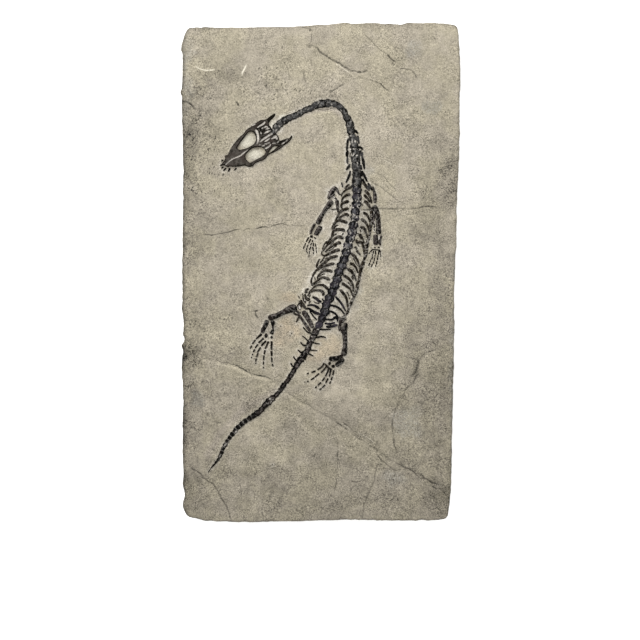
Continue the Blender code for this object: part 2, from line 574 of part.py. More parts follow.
def fuse(body, extras):
    """Joins small closed shapes to `body` with one Boolean union."""
    vertices, faces = [], []
    for more_vertices, more_faces in extras:
        first = len(vertices)
        vertices += more_vertices
        faces += [tuple(first + i for i in face) for face in more_faces]
    helper = add_object(body.name + "_growths", vertices, faces, body.data.materials[0])
    helper.hide_render = True
    helper.display_type = "WIRE"
    union = body.modifiers.new("growths", "BOOLEAN")
    union.operation = "UNION"
    union.solver = "EXACT"
    union.object = helper


def build_rod(name, points, rise, material, ground, spacing=2.2):
    path = ground.trim(smooth_path(points, 0.25))
    ground.cover(path)
    vertices, faces = loft(rod_stations(path, rise, spacing), ROUND_SECTION, BONE_BASE)
    return add_object(name, vertices, faces, material)


def build_column(name, points, vertebrae, growth, spurs, material, ground):
    path = smooth_path(points, 0.5)
    ground.cover(path)
    stations = column_stations(path, vertebrae, growth)
    column = add_object(name, *loft(stations, RIDGED_SECTION, BONE_BASE), material)
    growths = []
    for spur in spurs:
        line = smooth_path(with_widths(spur, SPUR_WIDTH), 0.25)
        ground.cover(line)
        stations = rod_stations(line, SPUR_RISE, 2.5)
        growths.append(loft(stations, ROUND_SECTION, BONE_BASE + FUSED_LIFT))
    fuse(column, growths)
    return column


def build_hand(name, width, arc, digits, material, ground):
    """A hand or foot: the arc of wrist or ankle bones with its digits grown from it."""
    path = ground.trim(smooth_path(with_widths(arc, width), 0.25))
    ground.cover(path)
    palm = loft(rod_stations(path, LIMB_RISE * 0.75, 1.5, 0.8), ROUND_SECTION, BONE_BASE)
    hand = add_object(name, *palm, material)
    growths = []
    for digit in digits:
        line = smooth_path(with_widths(digit, DIGIT_WIDTH), 0.25)
        ground.cover(line)
        stations = rod_stations(line, DIGIT_RISE, 3.4)
        growths.append(loft(stations, ROUND_SECTION, BONE_BASE + FUSED_LIFT))
    fuse(hand, growths)
    return hand


def skull_top(x, y):
    """The skull's upper surface: highest along its long axis."""
    off_axis = abs(distance_to_line((x, y), SKULL_AXIS)) / SKULL_HALF_WIDTH
    return BONE_BASE + SKULL_RISE + SKULL_CROWN * max(0.0, 1 - off_axis**2)


def build_skull(material, ground):
    loops = [np.array(SKULL_OUTLINE)] + [np.array(hole) for hole in SKULL_OPENINGS]
    low, high = loops[0].min(0), loops[0].max(0)
    inner = [
        (x, y)
        for x in np.arange(low[0], high[0], SKULL_GRID)
        for y in np.arange(low[1], high[1], SKULL_GRID)
        if min(abs(distance_to_line((x, y), np.vstack([loop, loop[:1]]))) for loop in loops) > 0.8
    ]
    skull = add_object("skull", *plate(loops, inner, skull_top, BONE_BASE), material)
    edge = smooth_path(np.vstack([loops[0], loops[0][:1]]), 0.4)
    ground.cover(np.column_stack([edge, np.zeros(len(edge))]))
    return skull


def main():
    clear_scene()
    stone = make_material("stone", STONE, STONE_ROUGHNESS)
    bone = make_material("bone", BONE, BONE_ROUGHNESS)
    ground = Clearance()

    build_slab(stone)
    build_skull(bone, ground)
    build_column("neck_vertebrae", NECK, NECK_VERTEBRAE, 1.5, NECK_SPURS, bone, ground)
    build_column("trunk_vertebrae", TRUNK, TRUNK_VERTEBRAE, 1.0, TRUNK_SPURS, bone, ground)
    build_column("tail_vertebrae", TAIL, TAIL_VERTEBRAE, 0.5, TAIL_SPURS, bone, ground)
    for name, points in LIMB_BONES.items():
        build_rod(name, points, LIMB_RISE, bone, ground)
    for name, (width, arc, digits) in HANDS_AND_FEET.items():
        build_hand(name, width, arc, digits, bone, ground)
    build_rod("right_belly_ribs", RIGHT_BELLY_RIBS, RIB_RISE, bone, ground, 2.8)
    for side, ribs in (("left", LEFT_RIBS), ("right", RIGHT_RIBS)):
        for number, points in enumerate(ribs, 1):
            path = with_widths(points, RIB_HEAD_WIDTH, RIB_TIP_WIDTH)
            build_rod(f"{side}_rib_{number:02d}", path, RIB_RISE, bone, ground, 1.8)


main()
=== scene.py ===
# %% [markdown]
# # A long-necked marine reptile, bedded in its slab
#
# The real object is a slab of grey limestone, split open and cleaned until the skeleton of a
# small swimming reptile stood a millimetre or so proud of it. Everything is natural, so nothing
# here is straight or even. The plan: lay out the bones as smooth lines with widths, give each
# kind of bone its own surface worked out with numpy, then make the stone as one fine grid that
# knows where the bones and cracks are. The solid model gives the frame; each bone of it is
# replaced by a finished one in the same place.

import bpy
import numpy as np
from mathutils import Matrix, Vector


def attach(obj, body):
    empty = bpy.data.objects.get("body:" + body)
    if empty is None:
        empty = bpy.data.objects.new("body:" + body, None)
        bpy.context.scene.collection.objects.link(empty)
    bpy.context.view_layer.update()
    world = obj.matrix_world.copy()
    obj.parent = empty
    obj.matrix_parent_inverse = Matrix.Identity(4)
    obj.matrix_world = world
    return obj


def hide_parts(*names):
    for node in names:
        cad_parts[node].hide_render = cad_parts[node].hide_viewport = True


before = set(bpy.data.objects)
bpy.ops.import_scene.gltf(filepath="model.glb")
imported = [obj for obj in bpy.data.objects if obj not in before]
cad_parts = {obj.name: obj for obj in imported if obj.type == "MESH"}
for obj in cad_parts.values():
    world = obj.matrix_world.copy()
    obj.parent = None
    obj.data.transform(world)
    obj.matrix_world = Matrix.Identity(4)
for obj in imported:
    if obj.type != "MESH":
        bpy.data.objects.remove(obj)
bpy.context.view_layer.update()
MM = 0.001

# %% [markdown]
# ## Drawing sheet and smooth lines
#
# Bones are drawn on a sheet of half-millimetre squares, counted from its upper left corner, and
# written down as text: `x,y` or `x,y,width` for each point, a stroke between two lines, and a
# semicolon between two named bones. A bone drawn with five or six points needs a smooth line
# through them; a Catmull-Rom curve passes through every point, which a Bezier or B-spline drawn
# from the same points would not.

# %% From squares on the sheet to smooth lines in millimetres
SQUARE = 0.5
SHEET_CORNER = (-160.15, 136.225)
STONE_TOP = 18.3  # the cleaned face round the bones, mm above the underside
CURVE_PARTS = 12  # straight parts between two drawn points


def line(text):
    """Rows of x, y and perhaps a width, all in squares, as rows in mm on the slab."""
    rows = np.array([point.split(",") for point in text.split()], float) * SQUARE
    rows[:, 0] += SHEET_CORNER[0]
    rows[:, 1] = SHEET_CORNER[1] - rows[:, 1]
    return rows


def several(text):
    """The lines of a text like "line / line"."""
    return text.split("/")


def named(text):
    """A dict from each name to its lines, of a text like "name: line / line; name: line"."""
    rows = (row.split(":") for row in text.split(";"))
    return {name.strip(): several(lines) for name, lines in rows}


def reach_of(path):
    """Distance from the start of a line to each of its points."""
    return np.concatenate([[0.0], np.cumsum(np.hypot(*np.diff(path[:, :2], axis=0).T))])


def at_shares(path, shares):
    """Rows of a line read at shares, 0 to 1, of its length."""
    reach = reach_of(path)
    return np.stack([np.interp(shares * reach[-1], reach, column) for column in path.T], axis=1)


def curve(rows, step, closed=False):
    """A Catmull-Rom curve through `rows`, read every `step` mm.

    Between b and c, with a before them and d after, at a share t of the way, it is
    (2b + (c - a)t + (2a - 5b + 4c - d)t^2 + (3b - a - 3c + d)t^3) / 2.
    """
    if closed:
        p = np.vstack([rows[-1:], rows, rows[:2]])
    else:
        p = np.vstack([2 * rows[0] - rows[1], rows, 2 * rows[-1] - rows[-2]])
    a, b, c, d = p[:-3], p[1:-2], p[2:-1], p[3:]
    t = (np.arange(CURVE_PARTS) / CURVE_PARTS)[:, None, None]
    fine = (2 * b + (c - a) * t + (2 * a - 5 * b + 4 * c - d) * t**2
            + (3 * b - a - 3 * c + d) * t**3) / 2
    fine = np.vstack([fine.transpose(1, 0, 2).reshape(-1, p.shape[1]), p[-2]])
    count = max(2, round(reach_of(fine)[-1] / step) + 1)
    return at_shares(fine, np.linspace(0, 1, count))


# %% [markdown]
# ## Distance to a line, and hills of noise
#
# Almost every surface below asks the same question: how far is this point from that line, on
# which side, and how far along? It is worked out for whole arrays of points at once. Natural
# unevenness comes from value noise: random numbers on a lattice with smooth blends between.

# %% Distances and noise over whole arrays
BATCH = 6000
LATTICE = 128  # random numbers each way before the hills repeat
LATTICE_TURN = 0.7  # radians between the lattices of neighbouring seeds


def in_batches(work, x, y):
    """Runs `work` on a few thousand points at a time, so that its tables of numbers stay small."""
    parts = [
        work(x.ravel()[i : i + BATCH], y.ravel()[i : i + BATCH]) for i in range(0, x.size, BATCH)
    ]
    return [np.concatenate(column).reshape(x.shape) for column in zip(*parts)]


def trace(x, y, path):
    """Distance to the nearest point of `path`, +1 on its left and -1 on its right, and reach."""
    start, run = path[:-1, :2], np.diff(path[:, :2], axis=0)
    length, reach = np.hypot(*run.T), reach_of(path)

    def work(px, py):
        dx, dy = px[:, None] - start[:, 0], py[:, None] - start[:, 1]
        share = np.clip((dx * run[:, 0] + dy * run[:, 1]) / length**2, 0, 1)
        away = np.hypot(dx - share * run[:, 0], dy - share * run[:, 1])
        rows, nearest = np.arange(len(px)), away.argmin(1)
        side = run[nearest, 0] * dy[rows, nearest] - run[nearest, 1] * dx[rows, nearest]
        reached = reach[nearest] + share[rows, nearest] * length[nearest]
        return away[rows, nearest], np.where(side < 0, -1.0, 1.0), reached

    return in_batches(work, x, y)


def inside(x, y, loop):
    """Distance to a closed line, positive inside.

    A ray from a point inside crosses the line an odd number of times.
    """
    a, b = loop[:-1], loop[1:]

    def work(px, py):
        spans = (a[:, 1] > py[:, None]) != (b[:, 1] > py[:, None])
        rise = np.where(b[:, 1] == a[:, 1], 1.0, b[:, 1] - a[:, 1])
        crossing = a[:, 0] + (py[:, None] - a[:, 1]) * (b[:, 0] - a[:, 0]) / rise
        return ((spans & (px[:, None] < crossing)).sum(1) % 2 == 1,)

    (within,) = in_batches(work, x, y)
    return np.where(within, 1.0, -1.0) * trace(x, y, loop)[0]


def hills(x, y, size, seed):
    """Random hills about `size` across, from -1 to 1, blended with 3t^2 - 2t^3 on a lattice."""
    table = np.random.default_rng(seed).uniform(-1, 1, (LATTICE, LATTICE))
    turn = LATTICE_TURN * seed
    u = (x * np.cos(turn) - y * np.sin(turn)) / size
    v = (x * np.sin(turn) + y * np.cos(turn)) / size
    i, j = np.floor(u).astype(int), np.floor(v).astype(int)
    s, t = u - i, v - j
    s, t = s * s * (3 - 2 * s), t * t * (3 - 2 * t)
    i, j, i1, j1 = i % LATTICE, j % LATTICE, (i + 1) % LATTICE, (j + 1) % LATTICE
    low = table[i, j] * (1 - s) + table[i1, j] * s
    high = table[i, j1] * (1 - s) + table[i1, j1] * s
    return low * (1 - t) + high * t


def rough(x, y, size, seed, layers=3):
    """Layers of hills, each half as wide and half as high as the one before."""
    return sum(0.5**k * hills(x, y, size * 0.5**k, seed + k) for k in range(layers))


def ease(value, low, high):
    """0 below `low`, 1 above `high`, and 3t^2 - 2t^3 between them."""
    t = np.clip((value - low) / (high - low), 0, 1)
    return t * t * (3 - 2 * t)


def bell(value, width):
    """1 at 0, falling to 1/e at `width` on both sides: exp(-(v / w)^2)."""
    return np.exp(-((value / width) ** 2))


# %% [markdown]
# ## Camera, floor and light
#
# A slab like this is best seen from straight above, on white. The lens looks down on a point a
# little below the middle of the slab. One broad light beyond the head end gives the bones,
# the cracks and the ledge their shading; the pale surroundings fill the shadows.

# %% Camera straight above, on a white floor
VIEW_CENTRE = (-0.15, -23.775)
VIEW_WIDTH = 320.0
LENS, SENSOR = 85.0, 36.0
WINDOW_PLACE, WINDOW_SIZE, WINDOW_POWER = (-0.35, 0.75, 0.75), 0.5, 8.0  # metres and watts
SURROUNDINGS = 0.85  # strength of the white surroundings

camera = bpy.data.objects.new("camera", bpy.data.cameras.new("camera"))
camera.data.lens = LENS
camera.data.sensor_width = SENSOR
camera.data.clip_start = 0.01
height = VIEW_WIDTH * LENS / SENSOR + STONE_TOP
camera.location = (VIEW_CENTRE[0] * MM, VIEW_CENTRE[1] * MM, height * MM)
bpy.context.scene.collection.objects.link(camera)
bpy.context.scene.camera = camera
bpy.context.scene.view_settings.view_transform = "Standard"
print("camera", round(height, 1), "mm above the underside")


def area_light(name, place, size, power):
    """A square light at `place`, in metres, that looks at the middle of the slab."""
    light = bpy.data.lights.new(name, "AREA")
    light.size, light.energy = size, power
    obj = bpy.data.objects.new(name, light)
    bpy.context.scene.collection.objects.link(obj)
    obj.location = place
    obj.rotation_euler = Vector(place).to_track_quat("Z", "Y").to_euler()


area_light("window_light", WINDOW_PLACE, WINDOW_SIZE, WINDOW_POWER)
surroundings = bpy.data.worlds.new("studio")
surroundings.use_nodes = True
background = surroundings.node_tree.nodes["Background"]
background.inputs["Color"].default_value = (1, 1, 1, 1)
background.inputs["Strength"].default_value = SURROUNDINGS
bpy.context.scene.world = surroundings

# %% [markdown]
# ## Shader sums in plain Python
#
# A material's nodes can be wired one by one, but the sums then hide behind socket names. A
# small class wraps an output socket, so that `0.3 + 0.5 * grain` adds the Math nodes itself.
# Colours are mixed with Mix nodes, because a Math node would turn them grey.

# %% A wrapper for sockets and one for materials
class Wire:
    """An output socket of a shader node that can be added, multiplied and compared."""

    def __init__(self, paint, socket):
        self.paint, self.socket = paint, socket

    def math(self, operation, *values, clamp=False):
        settings = {"operation": operation, "use_clamp": clamp}
        return self.paint.node("Math", settings, dict(enumerate(values)))

    def __add__(self, other):
        return self.math("ADD", self, other)

    def __sub__(self, other):
        return self.math("SUBTRACT", self, other)

    def __rsub__(self, other):
        return self.math("SUBTRACT", other, self)

    def __mul__(self, other):
        return self.math("MULTIPLY", self, other)

    __radd__, __rmul__ = __add__, __mul__

    def __abs__(self):
        return self.math("ABSOLUTE", self)

    def clamp(self):
        return self.math("ADD", self, 0.0, clamp=True)

    def ease(self, low, high):
        """0 below `low`, 1 above `high`, smooth between."""
        return self.paint.node(
            "MapRange",
            {"interpolation_type": "SMOOTHSTEP"},
            {"Value": self, "From Min": low, "From Max": high},
        )


class Paint:
    """A material under construction, around its Principled shader."""

    def __init__(self, name):
        self.material = bpy.data.materials.new(name)
        self.material.use_nodes = True
        self.tree = self.material.node_tree
        self.shader = self.tree.nodes["Principled BSDF"]
        self.place = self.node("TexCoord", {}, {}, "Object")

    def node(self, kind, settings, inputs, output=0):
        """Any shader node: its settings first, then its inputs, as a Wire from one output."""
        made = self.tree.nodes.new("ShaderNode" + kind)
        for name, value in settings.items():
            setattr(made, name, value)
        for name, value in inputs.items():
            self.connect(made.inputs[name], value)
        return Wire(self, made.outputs[output])

    def connect(self, socket, value):
        if isinstance(value, Wire):
            self.tree.links.new(value.socket, socket)
        elif isinstance(value, tuple) and len(value) == 3 and socket.type == "RGBA":
            socket.default_value = (*value, 1.0)
        else:
            socket.default_value = value

    def set(self, name, value):
        self.connect(self.shader.inputs[name], value)

    def mix(self, share, a, b, blend="MIX"):
        """Two colours mixed, or multiplied where `blend` says so."""
        made = self.tree.nodes.new("ShaderNodeMix")
        made.data_type, made.blend_type = "RGBA", blend
        for number, value in ((0, share), (6, a), (7, b)):
            self.connect(made.inputs[number], value)
        return Wire(self, made.outputs[2])

    def grey(self, value):
        """A number as a grey colour."""
        return self.node("CombineColor", {}, {"Red": value, "Green": value, "Blue": value})

    def noise(self, size, detail=2.0, roughness=0.5):
        """Noise whose lumps are about `size` mm across, from 0 to 1."""
        return self.node(
            "TexNoise",
            {},
            {"Vector": self.place, "Scale": 1 / (size * MM), "Detail": detail,
             "Roughness": roughness},
        )

    def streaks(self, length, width, turn):
        """Noise drawn out along a line turned by `turn` radians from the x axis."""
        place = self.node(
            "Mapping", {}, {"Vector": self.place, "Rotation": (0.0, 0.0, -turn)}
        )
        place = self.node("Mapping", {}, {"Vector": place, "Scale": (width / length, 1.0, 1.0)})
        return self.node(
            "TexNoise", {}, {"Vector": place, "Scale": 1 / (width * MM), "Detail": 2.0}
        )

    def value(self, name):
        """A number that each point of the mesh carries."""
        return self.node("Attribute", {"attribute_name": name}, {}, "Fac")

    def bump(self, height, depth):
        """Fine relief in the shading: `height` times `depth` mm."""
        self.set("Normal", self.node("Bump", {}, {"Height": height, "Distance": depth * MM}))


def from_srgb(*levels):
    """A colour given as 0 to 255 screen levels, as the shader's linear numbers."""
    shares = np.array(levels) / 255
    linear = np.where(shares <= 0.04045, shares / 12.92, ((shares + 0.055) / 1.055) ** 2.4)
    return tuple(float(v) for v in linear)


# %% The studio floor
FLOOR_REACH = 4.0  # metres from the middle to each side
floor_paint = Paint("studio_floor")
floor_paint.set("Base Color", (0.92, 0.92, 0.92))
floor_paint.set("Roughness", 0.9)
floor_paint.set("Emission Color", (1.0, 1.0, 1.0))
floor_paint.shader.inputs["Emission Strength"].default_value = 0.5
floor_mesh = bpy.data.meshes.new("floor")
floor_mesh.from_pydata(
    [(x * FLOOR_REACH, y * FLOOR_REACH, 0.0) for x, y in ((-1, -1), (1, -1), (1, 1), (-1, 1))],
    [], [(0, 1, 2, 3)],
)
floor_mesh.materials.append(floor_paint.material)
floor = bpy.data.objects.new("floor", floor_mesh)
bpy.context.scene.collection.objects.link(floor)

# %% [markdown]
# ## Bone
#
# Fossil bone here is black to dark grey-brown, with a faint plum tint along the backbone. Its
# raised middles were polished by the preparator's needle and are painted greyer than the edges;
# the edges are painted darker as shade where the bone rounds down into the stone, and the upper
# left side of each bone laid along a line carries a painted highlight. Specks of limestone still
# sit in its pores. One function makes every shade of it. `crest` is how high a point stands on
# its bone, with that painted light and shade in it, and `pale` is how much limestone covers it
# there; both are carried by the meshes.

# %% Paint for fossil bone
LIMESTONE_GRAINS = from_srgb(166, 160, 150), from_srgb(222, 216, 206)
PLUM_SIZE, BLOTCH_SIZE, SPECK_SIZE, PORE_SIZE = 4.0, 1.6, 0.55, 0.35


def bone_paint(name, deep, worn_and_lit, plum, speck_share, patchy=2.0, lift=-0.5):
    """Bone from `deep` at its edges to `worn_and_lit` on its crests, tinted with `plum` in places.

    The three are screen levels. The deep colour at the edges is partly painted shade, and the
    grey on the crests is wear together with painted highlight. `speck_share` adds specks of
    limestone, `patchy` is how uneven the wear is, and `lift` moves the whole of it up or down.
    """
    deep, worn_and_lit, plum = from_srgb(*deep), from_srgb(*worn_and_lit), from_srgb(*plum)
    paint = Paint(name)
    crest, pale = paint.value("crest"), paint.value("pale")
    blotch = paint.noise(BLOTCH_SIZE, 3.0, 0.6)
    grain = paint.noise(PORE_SIZE, 3.0, 0.65)
    # The grey on the crests is wear, with the painted light and shade that the crest value carries.
    worn_and_lit_share = crest * 1.1 + (blotch - 0.5) * patchy + (grain - 0.5) * 0.8 + lift
    worn_and_lit_share = worn_and_lit_share.ease(0.0, 1.0)
    colour = paint.mix(worn_and_lit_share, deep, worn_and_lit)
    colour = paint.mix(paint.noise(PLUM_SIZE, 2.0).ease(0.45, 0.7), colour, plum)
    limestone = paint.mix(grain.ease(0.3, 0.6), *LIMESTONE_GRAINS)
    specks = paint.noise(SPECK_SIZE, 2.0, 0.7).ease(0.66 - speck_share, 0.76 - speck_share) * 0.6
    cover = (pale * (0.75 + grain * 0.5) + specks * crest.ease(0.1, 0.6)).clamp()
    paint.set("Base Color", paint.mix(cover, colour, limestone))
    paint.set("Roughness", (0.52 + grain * 0.2 + cover * 0.25).clamp())
    paint.shader.inputs["Specular IOR Level"].default_value = 0.04
    paint.bump(grain + blotch * 0.6, 0.12)
    return paint.material


LIMB_BONE = bone_paint(
    "brown_black_bone", (6, 5, 4), (108, 100, 96), (34, 28, 25), -0.07, 1.5, -0.52
)
COLUMN_BONE = bone_paint(
    "slate_black_bone", (12, 12, 13), (97, 96, 99), (55, 51, 57), -0.03, 1.7, -0.42
)
NECK_BONE = bone_paint(
    "grey_neck_bone", (14, 13, 11), (102, 101, 99), (62, 61, 60), -0.04, 1.7, -0.36
)
SKULL_BONE = bone_paint("skull_bone", (20, 17, 12), (86, 81, 75), (58, 51, 46), -0.04)
RIB_BONE = bone_paint("black_rib_bone", (8, 6, 4), (54, 47, 37), (30, 24, 17), -0.1)
print("bone paints:", LIMB_BONE.name, COLUMN_BONE.name, NECK_BONE.name,
      SKULL_BONE.name, RIB_BONE.name)

# %% [markdown]
# ## Two ways to make a bone
#
# Long bones, ribs and finger bones are a profile carried along a line: an arch that is wide at
# the joints, narrow in the shaft and rounded at both ends. The skull and the backbone have
# outlines that no single profile follows, so they are cut out instead: a fine square grid is
# kept where a distance is positive, its edge is pulled onto the outline, and its height is any
# sum of ridges, pits and grooves. Both kinds are closed all round, with their undersides sunk
# in the stone, which is how the real bones lie.

# %% Arrays into a mesh
laid = []  # x, y and half width along every bone, for the stone to fit round


def add_piece(name, shapes, material, slot, *nodes):
    """One object from closed shapes: points in mm, arrays of faces, and values for each point."""
    faces, first = [], 0
    for points, shape_faces, _ in shapes:
        faces += [array + first for array in shape_faces]
        first += len(points)
    points = np.vstack([shape[0] for shape in shapes]) * MM
    corners = np.concatenate([array.ravel() for array in faces])
    sizes = np.concatenate([np.full(len(array), array.shape[1]) for array in faces])
    mesh = bpy.data.meshes.new("fossil_" + name)
    mesh.vertices.add(len(points))
    mesh.vertices.foreach_set("co", points.ravel())
    mesh.loops.add(len(corners))
    mesh.loops.foreach_set("vertex_index", corners)
    mesh.polygons.add(len(sizes))
    mesh.polygons.foreach_set("loop_start", np.concatenate([[0], np.cumsum(sizes)[:-1]]))
    mesh.update(calc_edges=True)
    mesh.validate()
    mesh.shade_smooth()
    for value in shapes[0][2]:
        numbers = np.concatenate([shape[2][value] for shape in shapes]).astype(np.float32)
        mesh.attributes.new(value, "FLOAT", "POINT").data.foreach_set("value", numbers)
    mesh.materials.append(material)
    piece = bpy.data.objects.new("fossil_" + name, mesh)
    bpy.context.scene.collection.objects.link(piece)
    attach(piece, "root")
    if nodes:
        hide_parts(*nodes)
    return piece


def triangles(piece):
    """How many triangles the faces of a piece come to."""
    return sum(len(p.vertices) - 2 for p in piece.data.polygons)


# %% A profile carried along a line
BURY = 0.4
SQUARISH = 0.8  # below 1 the profile is fuller than an ellipse
CROWDED = 0.75  # 1 would bring the stations at the tips to a standstill
# Bones laid along a line get a painted highlight on this side, as if lit from it.
LIT_SIDE = (-0.7, 0.7)  # the upper left


def round_end(distance, radius):
    """sqrt(1 - (1 - d/r)^2): how full a rounded end is at a distance d from its tip."""
    return np.sqrt(1 - (1 - np.clip(distance / radius, 0, 1)) ** 2)


def carry(rows, rise, sides=16, seed=0, saddle=0.0, lump=0.08, pale=0.0, spacing=0.22, blunt=1.0,
          polish=1.0, stained=0.0):
    """A closed bone along `rows` (x, y, width).

    The ring at each station runs through the angles a: c(cos a) times half the width to the
    left, and c(sin a) times the rise upwards or BURY downwards, where c(v) is v to the power
    SQUARISH with its sign kept. Rings shrink to a point at both ends, as round_end says, over
    `blunt` times half the width. `saddle` lowers the middle, `lump` makes the surface uneven and
    `pale` covers it with limestone. `polish` is how grey the crest is painted: wear, with a
    painted highlight on its upper left side and painted shade at its edges, less `stained`.
    """
    fine = curve(rows, 0.06)
    length = reach_of(fine)[-1]
    t = np.linspace(0, 1, max(9, round(length / spacing)))
    t = t - CROWDED * np.sin(2 * np.pi * t) / (2 * np.pi)
    path = at_shares(fine, t)
    laid.append(np.column_stack([path[:, :2], path[:, 2] / 2]))
    half = path[:, 2] / 2
    end = length * np.minimum(t, 1 - t)
    full = round_end(end, np.minimum(half * blunt, length / 2))[1:-1, None]
    run = np.gradient(path[:, :2], axis=0)
    run /= np.linalg.norm(run, axis=1, keepdims=True)
    angle = 2 * np.pi * np.arange(sides) / sides
    across = np.sign(np.cos(angle)) * np.abs(np.cos(angle)) ** SQUARISH
    up = np.sign(np.sin(angle)) * np.abs(np.sin(angle)) ** SQUARISH
    middle, half, run = path[1:-1], half[1:-1, None], run[1:-1]
    along = length * t[1:-1, None] + 9.1 * seed
    wide = half * full * across * (1 + lump * hills(along, across * half, 0.9, seed))
    x = middle[:, :1] - run[:, 1:] * wide
    y = middle[:, 1:2] + run[:, :1] * wide
    arch = up * (1 - saddle * bell(across, 0.45)) * (1 + lump * 1.5 * hills(x, y, 0.5, seed + 5))
    z = STONE_TOP + full * np.where(up > 0, rise * arch, BURY * up)
    tips = [(path[i, 0], path[i, 1], STONE_TOP) for i in (0, -1)]
    points = np.vstack([np.stack([x, y, z], axis=2).reshape(-1, 3), tips])
    rings = len(t) - 2
    i, k = np.arange(rings - 1)[:, None] * sides, np.arange(sides)
    after = (k + 1) % sides
    quads = np.stack([i + k, i + after, i + sides + after, i + sides + k], axis=2).reshape(-1, 4)
    first, last, start = rings * sides, rings * sides + 1, (rings - 1) * sides
    caps = np.concatenate([
        np.stack([np.full(sides, first), after, k], axis=1),
        np.stack([np.full(sides, last), start + k, start + after], axis=1),
    ])
    # Painted highlight on the side towards the upper left and painted shade on the far side; the
    # crest also fades into painted shade towards the edges and ends.
    lit_lean = across * (-run[:, 1:] * LIT_SIDE[0] + run[:, :1] * LIT_SIDE[1])
    crest = polish * np.clip(arch * (1 + 1.4 * lit_lean) - stained, 0, 1.5) * np.clip(up, 0, 1) * full
    crest = np.append(crest.ravel(), [0, 0])
    flecks = pale * ease(rough(points[:, 0], points[:, 1], 0.7, seed + 11), 0.15, 0.5)
    return points, [quads, caps], {"crest": crest, "pale": flecks}


def add_rods(name, texts, material, rise, sides, seed, *nodes, girth=1.0, **looks):
    """A piece of several drawn bones, each `girth` times as wide as drawn, with carry's looks."""
    bones = [
        carry(line(text) * (1, 1, girth), rise, sides, seed + i, **looks)
        for i, text in enumerate(texts)
    ]
    piece = add_piece(name, bones, material, "bone", *nodes)
    print(name, len(bones), "bones,", triangles(piece), "triangles")


# %% A plate cut out along any outline
SUNK = 0.25  # the plate's edge below the stone's face
PLATE_BACK = 0.15  # its underside below that edge
COARSE = 8  # cells left out at a time where the outline is far away
PROBE = 0.02  # half the distance over which the field's slope is measured


def cut_out(field, surface, low, high, cell):
    """A closed plate where `field(x, y)`, in mm from the outline, is positive.

    `surface(x, y, field)` gives each point's height above the stone and its values. Corners on
    the cut are moved down the field's slope until it is 0, and both sheets share them.
    """
    shape = [int(np.ceil((high[k] - low[k]) / cell / COARSE)) * COARSE for k in (1, 0)]
    y, x = np.indices(shape) * cell + np.array(low)[::-1, None, None]
    rough_field = field(x[::COARSE, ::COARSE], y[::COARSE, ::COARSE])
    near = np.kron(rough_field > -1.6 * COARSE * cell, np.ones((COARSE, COARSE))) > 0
    f = np.full(x.shape, -1.0)
    f[near] = field(x[near], y[near])
    kept = (f[:-1, :-1] + f[1:, :-1] + f[:-1, 1:] + f[1:, 1:]) > 0
    number = np.arange(x.size).reshape(x.shape)
    quads = np.stack(
        [number[:-1, :-1], number[:-1, 1:], number[1:, 1:], number[1:, :-1]], axis=2
    )[kept]
    used, quads = np.unique(quads, return_inverse=True)
    quads = quads.reshape(-1, 4)
    px, py = x.ravel()[used], y.ravel()[used]
    edges = np.sort(np.concatenate([quads[:, [i, (i + 1) % 4]] for i in range(4)]), axis=1)
    _, index, count = np.unique(edges @ (len(used), 1), return_index=True, return_counts=True)
    rim = np.unique(edges[index[count == 1]])
    for _ in range(4):
        rx, ry = px[rim], py[rim]
        value = field(rx, ry)
        slope_x = (field(rx + PROBE, ry) - field(rx - PROBE, ry)) / (2 * PROBE)
        slope_y = (field(rx, ry + PROBE) - field(rx, ry - PROBE)) / (2 * PROBE)
        push = np.clip(value / np.maximum(slope_x**2 + slope_y**2, 0.2), -cell / 2, cell / 2)
        px[rim], py[rim] = rx - push * slope_x, ry - push * slope_y
    rise, values = surface(px, py, np.maximum(field(px, py), 0.0))
    rise[rim] = -SUNK
    on_rim = np.zeros(len(px), bool)
    on_rim[rim] = True
    below = np.where(on_rim, np.arange(len(px)), 0)
    below[~on_rim] = len(px) + np.arange((~on_rim).sum())
    top = np.stack([px, py, STONE_TOP + rise], axis=1)
    depth = np.full((~on_rim).sum(), STONE_TOP - SUNK - PLATE_BACK)
    bottom = np.stack([px[~on_rim], py[~on_rim], depth], axis=1)
    values = {key: np.concatenate([v, v[~on_rim]]) for key, v in values.items()}
    return np.vstack([top, bottom]), [quads, below[quads][:, ::-1]], values


# %% [markdown]
# ## Skull
#
# The skull lies flat with its roof uppermost and its snout to the lower left. It is a thin roof
# of bone round two large eye openings, with a seam down the middle, a crowded cheek region of
# struts and slots behind the eyes, and a spike at each rear corner. The openings show the stone
# and are truly cut through. The narrow slots are filled with limestone almost to the bone's own
# level, so there the bone is lowered and painted pale instead.

# %% The skull's lines on the sheet
SKULL_EDGE = """
    220.6,165.3 223.3,161.7 225.2,158.5 224.4,156.4 226.2,155.1 228,154.4 230.3,149.2 232.9,145.1
    236,141 239.6,136.9 243.7,133.3 245.7,130.3 248.3,128.2 250.3,127.2 252.4,125.1 257,122.1
    260.6,120 266.2,119 270.6,115.6 275,113.2 275,115.8 272.6,118.8 270,121.6 269.1,124.6
    270.8,126.7 271.9,129.4 271.6,131.7 273.6,133.6 276,133.6 278.5,136.1 279.6,140.3 283,139.6
    286.6,138.4 289,138.2 291.4,135.2 292.5,136.2 291.6,139 288.6,142.5 285.2,144.8 281.1,148.2
    276,151.5 271.4,153.6 268.5,155 266.2,157.9 263.2,160.5 259.1,161.7 254.9,163.8 252.9,166.4
    248.8,167.1 245.2,165.8 240.1,166.4 234.9,166.9 229.8,166.6 226.9,167.4 225.6,165.6
    223.4,165.2
"""
